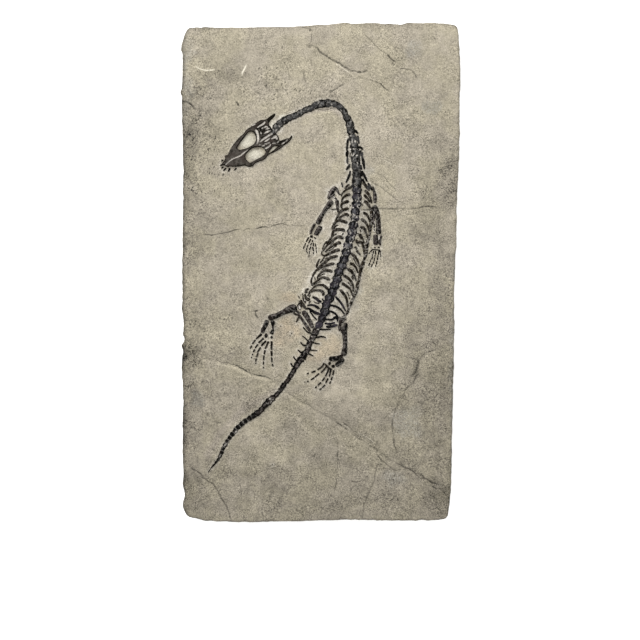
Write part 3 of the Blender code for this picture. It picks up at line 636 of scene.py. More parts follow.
EYES = several("""
    237.3,148.2 238.5,145.6 241.6,141 245.7,135.9 248.8,132.3 252.2,131.9 254.9,134.9 256,139
      254.4,143.1 251.4,145.6 247.3,147.9 242.6,149.2 239.6,149.7 /
    248.2,161.5 246.2,159.2 245.3,157.2 246.2,154.4 249.8,150.5 253.9,147.9 259.1,147.2
      263.2,148.2 265.2,150.5 265.2,153.3 262.1,156.4 257,159 252.4,161.6 250,162.5
""")
BEHIND_THE_CHEEK = """
    268.4,152.8 270.6,150 273,147 275.4,146.3 277.8,146.1 275.4,148.3 272.2,150.9 269.8,152.9
"""
# The slots are filled with limestone.
SLOTS = several("""
    226,164.6,0.9 229.8,161.1,1.1 233.9,158.5,1.3 238.5,156.7,1.4 241.6,154.9,1.5 244.4,152.4,1.3
      247.3,150.4,0.9 /
    255.9,130.5,1.8 256.8,131.8,2.3 257.8,134.6,2 258.2,139,2 257.8,142,1.6 257,143.8,0.8 /
    260,141.9,0.9 264,138.9,1.6 269,135.4,1.8 272.6,132.8,2.1 274.6,130,1.8 /
    257.6,127.5,0.6 260.6,125.6,1.2 262.8,124.3,1.7 264.8,122.3,1.2 /
    264.4,133.4,0.7 266.6,132.2,1.5 269,131.2,1.2 270.4,130.6,0.7 /
    260.6,132.2,0.8 261.2,133.8,1 / 262.2,146.2,0.8 264,145.6,1.3 /
    264.6,144.2,0.8 267,143.6,1.1 269.6,142.7,0.8 /
    265,148.9,0.9 267.6,147.5,1.6 269.4,146.2,1.3 270.8,144.6,0.7 /
    265,141.6,0.7 267.4,140.2,1.2 270,138.4,0.7 /
    271.6,138.9,0.8 273.6,137.8,1.7 275.4,136.7,2.7 276.8,138.6,1.9 /
    277.3,142.7,0.8 278.6,141.5,1.1 / 281.8,144.3,0.6 283.4,143,1.1 284.8,142.2,0.7 /
    264.6,127.6,0.7 266,126.6,1 267.6,127.4,0.7 / 262,128.6,0.7 263.2,127.8,0.8 /
    266.2,129.2,0.7 269,128.6,0.9 / 252.4,125.8,0.5 255,124.4,0.7 /
    259.2,145.4,0.7 260.4,144.6,0.8 / 272.6,143.4,0.6 275.4,143.2,0.7 /
    286,141.2,0.6 287.6,139.8,0.6
""")
# The struts are raised bars over the cheek.
STRUTS = several("""
    251,127,3 254,125,3.4 259,123.4,2 262,121.8,1.6 / 256,128.4,1.4 261,127,1.4 265,124.2,1.4 /
    266,121.4,3 267.4,123.6,3.2 268.6,125,2 / 259,129,1.4 259.6,134,2 260.4,139,1.6 /
    262,130.4,1 266,129.2,1.4 270.6,129.4,1.2 / 261.2,136.6,1.2 266.2,134.6,1.6 270.6,132.4,1.2 /
    257.2,145.2,2 261.1,142.8,2 266.3,140.9,1.8 270.3,137.4,1.8 273.6,135.4,1.8 /
    264.2,142.8,1.4 270,141.6,1.9 278.6,141.4,1.6 /
    262.4,147.2,1.4 268.4,144.9,1.5 274,144.9,1.7 280.4,145,1.5 /
    268,150.8,1.6 270.8,147.4,1.4 273.6,145.4,1.2 / 275.6,134.3,1.4 278.2,136.9,1.5 279,141,1.5 /
    266.8,155.4,2.6 272.4,152.2,2 279,148.6,1.9 285.6,143.7,2 289.6,139.6,1.6 291.8,136.2,1 /
    280.6,140.7,1.6 284.4,139.9,1.5 288.2,139.2,1.4
""")
SKULL_MIDLINE = "222,166 241,155 262,141 276,131"
skull_edge = curve(line(SKULL_EDGE), 0.35, closed=True)
eyes = [curve(line(text), 0.3, closed=True) for text in EYES]
cheek_gap = curve(line(BEHIND_THE_CHEEK), 0.3, closed=True)
slots, struts = ([curve(line(text), 0.3) for text in group] for group in (SLOTS, STRUTS))
print("skull", np.ptp(skull_edge, axis=0).round(1), "mm")

# %% Skull surface
SKULL_ROOF, SKULL_VAULT, EYE_RIM = 1.0, 0.5, 0.22
CHEEK = (5.8, 9.2)  # x + 0.55 y where it begins and where it is full
SKULL_LOW, SKULL_HIGH, SKULL_CELL = (-51, 51), (-13, 80.5), 0.14
SKULL_HEM = 0.3  # mm of the skull's own width that its edge line stands for


def skull_field(x, y):
    """How far inside the bone: inside the outer edge and outside the openings."""
    f = inside(x, y, skull_edge)
    for opening in (*eyes, cheek_gap):
        f = np.minimum(f, -inside(x, y, opening))
    return f + 0.05 * hills(x, y, 0.5, 3)


def ribbon(x, y, path):
    """Half the local width of a line less the distance to it: positive on the ribbon."""
    away, _, reach = trace(x, y, path)
    return np.interp(reach, reach_of(path), path[:, 2]) / 2 - away


def skull_surface(x, y, f):
    """Height over the stone, grey from wear and painted shade, and where limestone covers it."""
    middle = bell(trace(x, y, curve(line(SKULL_MIDLINE), 0.5))[0], 5.5)
    rim = np.minimum.reduce([np.abs(inside(x, y, eye)) for eye in eyes])
    cheek = ease(x + 0.55 * y, *CHEEK)
    height = SKULL_ROOF - 0.18 * cheek + SKULL_VAULT * middle * (1 - 0.45 * cheek)
    height = height + EYE_RIM * bell(rim - 0.5, 0.35) * (1 - cheek)
    height = height + 0.1 * rough(x, y, 1.2, 21) - 0.12 * ease(hills(x, y, 0.55, 9), 0.35, 0.8)
    bars = np.maximum.reduce([ribbon(x, y, strut) for strut in struts])
    raised = ease(bars, -0.25, 0.25)
    height = height * (1 - 0.3 * cheek * (1 - raised)) + 0.2 * cheek * raised
    filled = np.maximum.reduce([ribbon(x, y, slot) for slot in slots]) + 0.08 * hills(x, y, 0.4, 31)
    filled = filled + 0.06 * cheek
    fill = ease(filled, -0.14, 0.12)
    height = height * (1 - 0.35 * fill) - 0.12 * bell(filled, 0.15)
    height = height * round_end(f, 0.55)
    # Greyer where the roof stands high and the wear shows; painted shade darkens it towards its
    # edges, beside the slots and over the low parts of the cheek.
    wear_and_shade = ease(height, 0.35, 1.2) * (1 - 0.55 * cheek * (1 - raised))
    wear_and_shade = wear_and_shade * (0.25 + 0.75 * ease(f, 0.15, 0.7))
    wear_and_shade = wear_and_shade * (1 - 0.8 * bell(filled + 0.25, 0.2) * cheek)
    fill = fill * (1 - cheek * (0.16 + 0.26 * hills(x, y, 0.7, 33)))
    return height, {"crest": wear_and_shade, "pale": fill * (0.85 + 0.15 * hills(x, y, 0.6, 5))}


skull = cut_out(skull_field, skull_surface, SKULL_LOW, SKULL_HIGH, SKULL_CELL)
skull_piece = add_piece("skull", [skull], SKULL_BONE, "bone", "skull")
laid.append(np.column_stack([skull_edge, np.full(len(skull_edge), SKULL_HEM)]))
print("skull", triangles(skull_piece), "triangles")

# %% Teeth at the tip of the snout
TEETH = several("""
    221.2,168.4,1.3 223.7,167,1 / 223.2,170.8,1.2 226.2,168,1.5 / 228.3,171.7,1.1 230,168,1.6 /
    234.2,170.3,1.1 236.7,168,1.3 / 221.2,161.2,1 223.3,159.8,0.9 / 220.2,165.9,0.9 222,164.6,1.2
""")
add_rods("teeth", TEETH, RIB_BONE, 0.5, 12, 0, girth=1.35, spacing=0.12, polish=0.4)

# %% [markdown]
# ## Backbone
#
# Seen from above, each vertebra is a small saddle: a ridge down the middle, a lobe at each
# corner where it locks to the next one, a stub to each side, and a dark joint between. The
# column is one cut-out plate whose height depends on two numbers, how far through its vertebra
# a point is and how far across. The short ribs of the neck, hips and tail are thinner ribbons
# joined to it by taking whichever surface is higher.

# %% One column of vertebrae
PLATE_CELL = 0.15
PLATE_MARGIN = 3.2  # from the lines to the edge of the grid that the plate is cut from
TAIL_DULLS = (25, 40)  # to the left of the slab's middle, where the crest loses its polish
JOINT_GROOVE, LOBE_RISE, RIDGE_RISE, STUB_RISE, PIT_DEPTH = 0.34, 0.2, 0.32, 0.12, 0.2


def column(name, paint, text, count, growth, spurs, rise, seed, fleck, ladder, notch, stout):
    """`count` vertebrae along a line with widths, the last `growth` times as long as the first.

    With f = 2 / (1 + growth), vertebra t of 0 to 1 starts at the share f t + (1 - f) t^2 of the
    length, and that is turned round here to find t from the share. `fleck` and `ladder` turn a
    share of the length into how much limestone lies between the lobes and in the middle of a
    vertebra, `notch` is how deeply the sides are drawn in at the joints, and `stout` how much
    wider the short ribs, `spurs`, are than drawn.
    """
    path = curve(line(text), 0.4)
    length, reach_rows = reach_of(path)[-1], reach_of(path)
    spurs = [curve(line(spur), 0.3) * (1, 1, stout) for spur in spurs]
    laid.extend(np.column_stack([p[:, :2], p[:, 2] / 2]) for p in [path, *spurs])
    first = 2 / (1 + growth) + 1e-6
    luck = np.random.default_rng(seed).uniform(-1, 1, (4, count + 2))

    def read(x, y):
        """Distance inside the column, how far across it, how far through its vertebra, the
        vertebra's number, and the distance along the column."""
        away, side, reach = trace(x, y, path)
        share = reach / length
        t = (np.sqrt(first**2 + 4 * (1 - first) * share) - first) / (2 * (1 - first))
        number = np.clip(np.floor(t * count).astype(int), 0, count - 1)
        u = t * count - number
        wide = 1.04 - notch + notch * bell(u - 0.48, 0.25) + 0.09 * np.where(
            side > 0, luck[0][number], luck[1][number]
        )
        half = np.interp(reach, reach_rows, path[:, 2]) / 2 * wide
        half = half + 0.17 * hills(x, y, 0.75, seed) + 0.07 * hills(x, y, 0.32, seed)
        return half - away, side * away / half, u, number, reach

    def stubs(x, y):
        """Distance inside the nearest short rib."""
        return np.maximum.reduce([ribbon(x, y, spur) for spur in spurs])

    def field(x, y):
        return np.maximum(read(x, y)[0], stubs(x, y) + 0.03 * hills(x, y, 0.4, seed + 2))

    def surface(x, y, f):
        inner, q, u, number, reach = read(x, y)
        joint = np.minimum(u, 1 - u)
        ridge = bell(q - 0.12 * luck[2][number], 0.17)
        ridge = ridge * ease(u, 0.08, 0.35) * ease(1 - u, 0.04, 0.25)
        lobes = bell(np.abs(q) - 0.5, 0.17) * bell(joint, 0.2)
        side_stub = bell(np.abs(q) - 0.85, 0.22) * bell(u - 0.48, 0.24)
        cut = bell(joint, 0.075) * (1 - 0.45 * bell(q, 0.3))
        pits = ease(rough(x, y, 0.8, seed + 3), 0.1, 0.7) * bell(np.abs(q) - 0.35, 0.3)
        body = 0.72 + RIDGE_RISE * ridge + LOBE_RISE * lobes + STUB_RISE * side_stub
        body = body - JOINT_GROOVE * cut - PIT_DEPTH * pits
        body = body + 0.07 * luck[3][number] + 0.1 * rough(x, y, 0.9, seed + 4)
        size = np.clip(np.interp(reach, reach_rows, path[:, 2]) / 4.2, 0.32, 1.0)
        height = rise * size * body * round_end(np.maximum(inner, 0), 0.8 * size)
        spur_height = 0.62 * round_end(np.maximum(stubs(x, y), 0), 0.42)
        height = np.maximum(height, spur_height)
        amount = fleck(reach / length)
        between = bell(joint, 0.13) * (0.7 + 0.6 * ease(np.abs(q), 0.5, 0.9))
        between = between + 0.8 * bell(np.abs(q) - 0.4, 0.28)
        speckled = ease(rough(x, y, 0.75, seed + 7) + 0.5 * (amount - 1), 0.0, 0.5)
        pale = amount * speckled * between * (1 - 0.7 * ridge) * ease(inner, 0.1, 0.5)
        gap = bell(q - 0.25 - 0.5 * luck[2][number], 0.24) * bell(u - 0.5, 0.3)
        gap = gap * ease(luck[3][number], -0.35, 0.35) + 0.35 * bell(joint, 0.07)
        pale = pale + ladder(reach / length) * gap * ease(inner, -0.05, 0.25)
        # Greyer where the column stands high; painted shade darkens it towards its edges.
        crest = ease(height / (rise * size), 0.3, 1.05) * ease(f, 0.1, 1.2 * size)
        crest = crest * (1 - 0.55 * ease(-x, *TAIL_DULLS))
        return height, {"crest": crest, "pale": np.clip(pale, 0, 1)}

    everything = np.vstack([p[:, :2] for p in [path, *spurs]])
    low, high = everything.min(0) - PLATE_MARGIN, everything.max(0) + PLATE_MARGIN
    plate = cut_out(field, surface, low, high, PLATE_CELL)
    piece = add_piece(name, [plate], paint, "bone", name)
    print(name, triangles(piece), "triangles, pitch", round(length / count, 2), "mm")


# %% Neck
NECK = """
    272.6,134.4,3.4 274.2,131,6.2 276.4,127.6,8.6 279.2,124.4,8.6 282.2,122,7.8 285,120.4,7.6
    290,117.8,7.2 295,115.5,6.6 300,113,6.5 305,110.5,6.5 310,108.5,7 315,106,7.4 320,104,8.2
    325,103.6,8.2 330,103.2,7.8 335,104,6.8 338.7,106,7 343.5,110.8,6.6 346,116.3,6.6
    349,121.5,7.8 350.6,128.7,8.4 352,135,7.4 353.2,140,7 354.6,145,7.8 355.2,150,8.6 355.4,155,9
    355.6,160,9 355.9,165,9 356.4,170,9 356.9,175,9.4 356.9,180,9.6 356.9,185.4,9.6
"""
NECK_RIBS = several("""
    351,138.6,1.6 348.4,139.8,2.2 347.4,142.4,2 347.2,145.2,1.7 /
    347.2,146,1.8 347,148.6,2.2 346.8,150,1.6 / 347.4,151.4,2 347,154,2.8 347.2,156.6,1.6 /
    347.6,158.4,1.6 347.2,160.8,2 347.6,163,1.5 /
    349.6,164.6,1.6 348.6,166.8,2.4 346.6,169.4,1.6 /
    350.2,171.6,1.5 349.4,175,2.1 347.8,178.8,2 346.2,182,1.4 /
    354.4,137,1.8 356.4,138,2.4 358.2,140.4,2.2 359,143,1.5 / 358.4,136,1 358.8,139.6,1.2 /
    355.8,145.6,1.6 358.4,147,2 361,147.6,2 362.4,149.2,1.5 / 357.2,149.8,1.6 357.9,151.4,1.6 /
    358,152.4,1.8 359,154.8,1.8 / 360.9,150.6,1.3 360.7,153.6,1.4 362,156,1.3 362.6,152.6,1.3 /
    358.6,157,1.6 359.2,160.4,1.8 359.4,163,1.5 /
    362.2,157.4,1.8 363.2,161,2.6 363.8,165,2.2 364.4,168.4,1.5 / 359.2,166.2,2 359.8,168.6,2.1 /
    361.2,165.2,1 361.8,169.4,1.1 / 359.6,170.6,1.9 360.8,173.2,2 361.8,175.6,1.5 /
    362.2,171.6,1.8 364,175,2.3 366.2,179.4,2 367,181.2,1.3 /
    363,179.4,1.6 364.6,183.4,2 367,187,2.1 369.2,190,1.5 /
    368.4,183.6,1.6 369.8,186.2,2.3 371.8,189.8,1.5 / 341.6,183,1.3 342.6,186.4,1.4 /
    355.6,131,2.4 357.4,132.8,1.8 / 352.4,184.8,1.2 350.4,187.6,1.4
""")


def neck_fleck(t):
    """More limestone where the neck meets the trunk, and by the skull."""
    return 0.34 + 0.45 * bell(t - 0.76, 0.1) + 0.15 * bell(t, 0.08)


def no_ladder(t):
    """No limestone in the middle of the vertebrae."""
    return 0.0 * t


column(
    "neck_vertebrae", NECK_BONE, NECK, count=25, growth=1.5, spurs=NECK_RIBS, rise=1.15, seed=41,
    fleck=neck_fleck, ladder=no_ladder, notch=0.13, stout=1.25,
)

# %% Trunk
TRUNK = """
    356.9,186.8,9.8 356.9,190,9.8 357,195,9.6 357,200,10.4 356,205,9.8 355.2,210,9.4
    355.2,215,10.2 354.2,220,9.8 353.1,225,9.9 352.3,230,10.2 351.3,235,9.8 349.6,240,9.8
    348.7,245,10 346.8,250,10.4 345.3,255,10 343.8,260,9.7 341.8,265,10.2 339.6,270,9.7
    337.8,275,9.9 336.4,280,10.4 334.8,285,10.4 332.9,290,10.6 331,295,10.4 328.6,300,10.1
    326.6,305,9.9 325.2,310,10 323.4,315,8.6 321.3,320,7.8 318.8,325,7.4 317.4,328,7
"""
HIP_RIBS = several("""
    320.6,301.6,2.4 319,300.9,3 316.4,299.2,2.3 312.8,297.2,1.6 /
    324.4,302.6,1.4 322.6,299.2,1.7 /
    318.9,308.2,2.2 317.2,307.2,3 314,305.4,2.3 310.6,304.9,2.2 307.8,305.4,1.6 /
    318.4,313.6,2.6 316,313,3.4 312.8,311.2,2.8 309.6,308.9,2.4 307.2,308.2,1.8 /
    316.6,319.6,1.4 313.6,316.4,1.6 311.4,313.6,1.5 309.8,311.4,1.1 /
    331,305.2,1.8 333.4,305.8,2.3 337,306.9,2.3 341,309.8,2 344.8,314.4,1.6 /
    329.6,311.2,1.6 332,311.8,2.3 335.2,313.6,2.2 337.4,316.2,2 339.4,318.6,1.4 /
    325.6,318.8,1.4 328.6,319.6,2 332.4,319.4,2 335,317.4,2.6 336.6,318,2.4 337.6,321,1.6 /
    325.4,323.4,1.6 328.4,323.9,2.1 331.4,323.6,2 334.4,322.4,1.5 /
    326.6,326.8,1.8 329.4,326.7,2.6 332.6,326.2,2.6 335,325.4,2.9 336.8,325,1.9 /
    336,297.2,2.2 338.6,300,2.6 341,303,2.4 343.4,306.8,2.2 345.4,310.6,1.6
""")


def trunk_fleck(t):
    """More limestone between the shoulders."""
    return 0.24 + 0.6 * bell(t - 0.25, 0.25)


column(
    "trunk_vertebrae", COLUMN_BONE, TRUNK, count=21, growth=1.0, spurs=HIP_RIBS, rise=1.25, seed=42,
    fleck=trunk_fleck, ladder=no_ladder, notch=0.25, stout=1.05,
)

# %% Tail
TAIL = """
    317,328.6,6.6 314,335,6.8 311.5,340,6.6 309,345,6.4 307,350,6.2 304,355,6.8 300,360,7
    297,365,6 294,370,5.4 291,375,5.4 288.5,379.4,4.6 285.6,382.6,4.6 283,386,5.6 280.6,389.4,5
    279,392,4.6 275.8,395.6,5.2 271.8,398.8,7 268,402.4,7.4 263.8,406.8,6.6 260.4,410.4,5.8
    257,413.2,6 253.4,415.8,5.8 250,418,5.5 247,420,5.1 244.5,421.8,5.2 241.6,424.2,4.9
    239,426.4,5.2 235.5,430,5 232,434.5,4.9 228.5,439,4.8 226,443.5,4.7 223.5,448,4.5
    222,451.6,4.3 220,456,3.8 217.6,460.4,3.1 214.4,464.2,2.2 211,468,1.4 208.3,472.2,0.7
"""
TAIL_RIBS = several("""
    312.6,333.6,1.4 310,333,1.5 307.4,332,1.4 303.3,327.5,1.2 /
    311,341.6,1.4 307.8,340.7,1.5 304.8,337.7,1.3 302.2,336,1 /
    309,346,1.4 305.9,345.4,1.6 303,345,1.6 300.7,342.4,1.2 /
    306,351.4,1.4 303,351.8,1.6 301,352.4,1.7 298,350,1.3 /
    299,360.6,1.2 296,360,1.5 293.6,357,1.6 / 295,367,1.2 292.4,366,1.5 291,363.6,1.6 /
    318,329.2,1.6 322,329.5,1.7 326,329.5,1.6 330.5,329.4,1.1 /
    314,337,1.6 317.6,337.3,1.9 320.8,336.5,1.6 323.4,336.8,1.5 325.7,337.6,1.1 /
    311,342,1.5 315.4,343.2,1.4 319.7,343.9,1 / 308.4,350,1.5 312.6,350.2,1.4 317,350.5,1 /
    305.6,352.4,1.6 309,353.8,1.6 313,355.8,1.2 / 302,358,1.4 305.6,359.2,1.6 /
    300.4,360.6,1.4 303.7,361.2,1.6 / 284.4,381.4,1.2 287.6,381.2,1.3 288.4,383.2,1.1
""")


def tail_fleck(t):
    """More limestone by the hips and in two places further on."""
    return 0.2 + 0.5 * bell(t, 0.12) + 0.3 * bell(t - 0.47, 0.05) + 0.4 * bell(t - 0.36, 0.02)


def tail_ladder(t):
    """Limestone in the middle of the vertebrae near the tip."""
    return 0.7 * ease(t, 0.58, 0.66) * ease(0.93 - t, 0, 0.06)


column(
    "tail_vertebrae", LIMB_BONE, TAIL, count=36, growth=0.5, spurs=TAIL_RIBS, rise=1.2, seed=43,
    fleck=tail_fleck, ladder=tail_ladder, notch=0.16, stout=1.1,
)

# %% [markdown]
# ## Ribs
#
# Each rib is a slim arch with a thick rounded head beside the backbone, bending back and
# thinning towards its tip. Sixteen on each side can be told apart; along the right flank the
# belly ribs have slid into one long band. A rib is drawn as its middle line only; one rule gives
# all of them their width from joint to tip, and a few are made stouter or finer.

# %% Ribs of both sides
RIB_SHARES, RIB_WIDTHS = (0, 0.13, 0.45, 1), (2.1, 3.2, 2.5, 1.6)  # along a rib, in squares
RIB_RISE = 0.72
LEFT_RIBS = several("""
    352,186.6 348.8,188.2 345.5,190.2 342.4,193.2 341,196.4 /
    350.6,194.2 347.4,194.9 344.6,196.4 342.4,198.8 341.4,202 /
    349,201 346.4,201.8 343.4,203 341.2,205 341.4,208 /
    348.9,208.5 345.6,209 342.4,210.4 339.8,212.4 337.6,215.8 336,219.6 /
    349.2,215.9 346.2,214.3 343.4,215.2 340.6,216.8 338,218.4 /
    347.7,222.8 345,222 342,220.8 339,220.4 336.4,221.4 334.6,223.6 333.4,226.8 332.2,229.4 /
    345.2,231.2 342.6,229.8 339.6,229.4 336,229.7 333.6,231 332.4,234 331.3,237.6 329,240.4
      326,243.8 /
    343.6,238.8 341.2,237.4 338.4,236.8 335.6,238.2 333,240.4 329.6,243 326,246.6 322.8,251 /
    341.4,243.6 338.8,242.8 335.6,244 331.6,246.4 328,249.4 325,252.2 /
    340.2,250.8 337.6,250.1 334,251.2 330,253.2 325.6,255.4 322.2,255.2 /
    338,256.2 335.6,256.4 331.6,257.4 328.6,259.2 323.4,263 317.4,268.2 /
    334.7,263.5 331.4,264 327.4,265.2 322,267.2 317,270.6 /
    332.5,272.1 328.9,270.5 324.2,270.8 320.8,272.8 318.4,275.4 317.4,278.4 /
    330.3,280 326.3,278.2 322.8,277.3 319.8,278.9 315.7,281.9 311.8,285.2 /
    328.5,289.4 324.5,286 320.4,284.7 315.7,286 312,288.7 /
    322.6,296 323.3,293.2 321.4,290.9 317.6,290.2 313.6,290.5 310.4,292.2 307.4,296
""")
RIGHT_RIBS = several("""
    363.6,181.4 364.6,184.6 367,188 369.6,190.4 / 364.8,190 368.2,193.8 370.3,197.8 371.6,203.4 /
    363.9,194.6 367.2,198 369.8,202.2 / 364,200.8 366.8,202.8 369.4,206.6 371,210.4 /
    363.1,212.3 366.2,214.2 368.6,217.7 370,222.6 /
    360.9,218.8 364.2,221 366.7,224.4 368.5,228.4 369.8,234.8 /
    360,227.2 363.1,227.5 365.2,230.4 366.7,234.2 367.3,237.8 /
    358.7,233.8 360.8,236.2 363.6,240.6 /
    356.3,239.4 357.2,241.9 360.9,242.3 362.7,244.9 363.6,248.4 364,254 /
    356,250.6 358,252.2 360.6,255.2 / 350.7,252.8 354.4,256.2 357.2,259.8 358.9,264.4 360.2,269 /
    349.8,263 353.3,264.6 356.2,268.2 357.8,273 / 347,268 351.1,271.3 354,275.4 356.2,281 /
    342.9,275 347.5,277.7 351.1,281.3 352.9,285.8 353.2,291.6 /
    341.6,283 346.2,285.8 349.4,288.2 351.4,292 352.7,295.8 /
    339.8,289.4 343.4,293.7 346.2,297.8 347.3,303.7 348.3,309.6
""")
STOUT = {  # ribs that are wider or finer than the rest
    "left_rib_01": 0.8, "left_rib_03": 1.08, "left_rib_06": 1.05, "left_rib_07": 1.08,
    "left_rib_10": 1.15, "right_rib_04": 1.12, "right_rib_08": 1.15, "right_rib_10": 0.85,
}


def rib_rows(text, stout=1.0):
    """A rib's line with its width: narrow at the joint, thick at the head, fine at the tip."""
    path = curve(line(text), 0.6)
    share = reach_of(path) / reach_of(path)[-1]
    return np.column_stack([path, stout * SQUARE * np.interp(share, RIB_SHARES, RIB_WIDTHS)])


rib_triangles = 0
for side, ribs, first_seed in (("left", LEFT_RIBS, 50), ("right", RIGHT_RIBS, 80)):
    for number, text in enumerate(ribs, 1):
        name = f"{side}_rib_{number:02d}"
        rows = rib_rows(text, STOUT.get(name, 1.0))
        rib = carry(rows, RIB_RISE, 14, first_seed + number, saddle=0.2, lump=0.15, pale=0.12)
        rib_triangles += triangles(add_piece(name, [rib], RIB_BONE, "bone", name))
print("32 ribs,", rib_triangles, "triangles")

# %% Belly ribs, splinters of ribs along both flanks, and crumbs half covered with limestone
BELLY_RIBS = several("""
    370.4,206.6,2.2 371.4,210,3 371.7,214,3 371.6,219,2.8 370.9,224,2.8 370.2,229,2.8
      369.8,234.6,1.8 /
    369.9,232,1.6 369.2,237,2.3 367.6,241.6,2.8 366.4,245,3.6 366.6,248.2,3 367.2,250.4,2 /
    367,249.4,2.4 366,253.6,2.9 364.8,257.2,2.9 363.8,260.4,2.2 /
    364,259.6,2.4 362.9,263.4,3.3 361.4,267.4,3.2 360.4,272,2.6 359.6,277,2.4 358.8,281,1.8 /
    360.2,275,1.4 358.8,281,2.4 357.2,285.4,2.8 357,289.6,2.5 354.8,294.8,2.6 352.4,300.1,2.5
      350,305.6,2.4 348,311,2 /
    349.2,308,1.9 347.3,312.4,2.3 344.6,316,2.6 341.8,318.5,2.4 340.8,321.6,2 340.4,325,1.5 /
    371.4,221.4,1.1 372.8,223.4,1.2 374.8,224.6,1 /
    365.4,252.6,1.2 364.2,257.4,1.3 362.6,262.4,1.2
""")
SPLINTERS = several("""
    349.4,184,1.6 346.8,186.2,2 344.4,188.8,1.3 /
    336.6,220.8,1.8 334.4,223.6,2.4 332.8,227.4,3 331.8,229.4,1.8 /
    308.8,288.5,1.8 306.6,289.8,2.4 304.8,291.4,1.5 /
    304.6,293.8,1.8 305.6,296.4,2.4 307.2,299.4,3 309.4,300.8,1.8 /
    300.9,299.6,1.6 301.8,302.4,2.4 303.6,305,2.6 305.8,307.6,1.5 /
    312.4,276.6,1.5 311.3,280,2 311.3,283,2.2 312.3,286,1.5 / 338.8,194.3,1 342.2,194.2,1 /
    341.2,203.6,1.8 341.6,207,2.2 342.6,209.4,1.4 /
    340.6,211.4,1.2 338.2,214.4,1.6 336.4,218,1.6 334.9,221.4,1.2 /
    322.2,250.6,1.3 321.6,253.4,1.5 322.6,255.6,1.3 / 361.6,264.6,1.2 362.6,262,1.3 /
    363,240.6,1.6 364.4,243.6,1.6 / 358,232.8,1.4 358.6,234.6,1.4 /
    354.4,248.2,1.6 355.4,246.9,1.6 356.7,248,1.6 356,249.8,1.6 /
    318,268.4,2 315.4,271.4,2.5 313.4,274.6,2.3 312.2,277.2,1.6 /
    319.8,258.8,1.5 318,262,2.1 316.8,265.4,2.3 316.8,268,1.8 /
    324.8,256.2,1.2 322.6,259.6,1.5 320,263.4,1.5 / 326.6,241,1.2 324,245,1.3 322.2,249.6,1.2 /
    318,276.4,1.3 317.2,279,1.6 / 314.6,277.4,1 315.4,280,1.3 /
    313.2,287.8,1.2 311,290,1.4 308.4,292.6,1.1 / 310.4,300.8,1.3 308.9,303.4,1.2 /
    272,464.4,1.3 273.1,465,1.2 / 298,304.6,1.4 299.8,302.4,1.6 301,300.2,1.2 /
    293.2,312.6,1.8 295,314,2.4 297.4,314.9,1.4 / 298.6,316.8,1.4 297.6,319.6,1.6 296,322.4,1.3 /
    291.2,333.6,1.3 292,332.6,1.2 / 280.3,325.6,1.1 280.9,326.6,1.1 /
    302.2,293.4,1.1 303.4,296.6,1.2 / 299.6,305.6,1 302.4,307.2,1.2 /
    343.4,233,1.1 341.8,235.4,1.2 / 336.8,245.4,1 333.2,247.8,1.1 /
    353,258,1.2 355,261.2,1.3 356,264,1.1 / 351.6,269.2,1.1 353.8,272.8,1.2 /
    360.4,229.6,1.1 360.8,232.2,1.1 / 359.6,236.8,1 361,239.4,1.2 / 352,275.4,1 353.4,278.6,1.1 /
    357.6,243.8,1 358.6,246.6,1 / 304.4,291.6,1.6 306,292.6,1.9 307.8,291.8,1.3 /
    302.6,296,1 303.6,299.4,1.5 304.2,301,1.2 / 306.2,298.4,2 308.4,299.2,2.8 310.2,298.6,1.8 /
    299.2,301,1.2 300.4,304,1.7 302.2,306.6,1.5 / 303,306.4,1.6 305.4,308.4,1.9 308,309.2,1.4 /
    298.4,295.6,1 299.4,298.4,1.2 / 312.4,296.6,1.2 315.6,297.6,1.8 318.6,299,1.3 /
    296.4,310.6,1.2 299,312.4,1.8 301,312,1.3 / 310.6,294.6,1 309,297.4,1.3 /
    313.6,301.6,1 317,303.2,1.4 319.6,303,1 / 336.4,208.8,0.9 331,209.4,0.8 /
    361.6,203.4,1.3 363,205.8,1.2 / 350.6,206.2,1 349.6,204.4,1.1
""")
CRUMBS = several("""
    297.4,304.4,2.4 299,307,2.8 300.2,309.8,2.2 / 298.4,312.6,1.8 296.4,311,2 295.4,312,1.4 /
    343.6,318.6,2 342,321.4,2.6 341.4,324.6,2 / 302.6,297.6,2 304.2,300.4,2.4 306.2,303,1.8 /
    328.6,191,1.6 333,196.6,2.2 337,199,1.6 /
    372,208,1.8 373.4,213,2.2 374,222,2.2 374.2,232,1.6 /
    379.2,236,1.6 379,240,1.8 378.8,244.4,1.4 / 350.4,145,1.2 350.2,152,1.4 350,158,1.2 /
    357.2,134.6,1.3 358.2,138,1.8 359.2,142.4,1.3 / 358.4,148.6,1.3 359.8,152,1.7 361,156,1.3 /
    358.6,160,1.2 359.8,163.6,1.6 361,167.6,1.2
""")
add_rods("right_belly_ribs", BELLY_RIBS, RIB_BONE, 0.7, 14, 120, "right_belly_ribs",
         girth=1.14, saddle=0.15, lump=0.18, pale=0.35)
add_rods("rib_splinters", SPLINTERS, RIB_BONE, 0.45, 10, 150, lump=0.2, pale=0.12, spacing=0.2)
add_rods("crumbs", CRUMBS, LIMB_BONE, 0.3, 12, 500, lump=0.25, pale=0.95, spacing=0.2)

# %% Thin splints of belly ribs, seen between the ribs
SPLINT_SEED = 7
NEIGHBOURS = (LEFT_RIBS[4:15], RIGHT_RIBS[10:16])  # one splint between each two of these
SPLINT_RANGE = (0.3, 0.25, 0.8), (0.5, 0.45, 1.3)  # start and length in shares, width in squares


def between(first, second, low, high):
    """A line halfway between two ribs, over part of their length."""
    shares = np.linspace(low, high, 7)
    first, second = (at_shares(curve(line(text), 0.5), shares) for text in (first, second))
    return (first + second) / 2


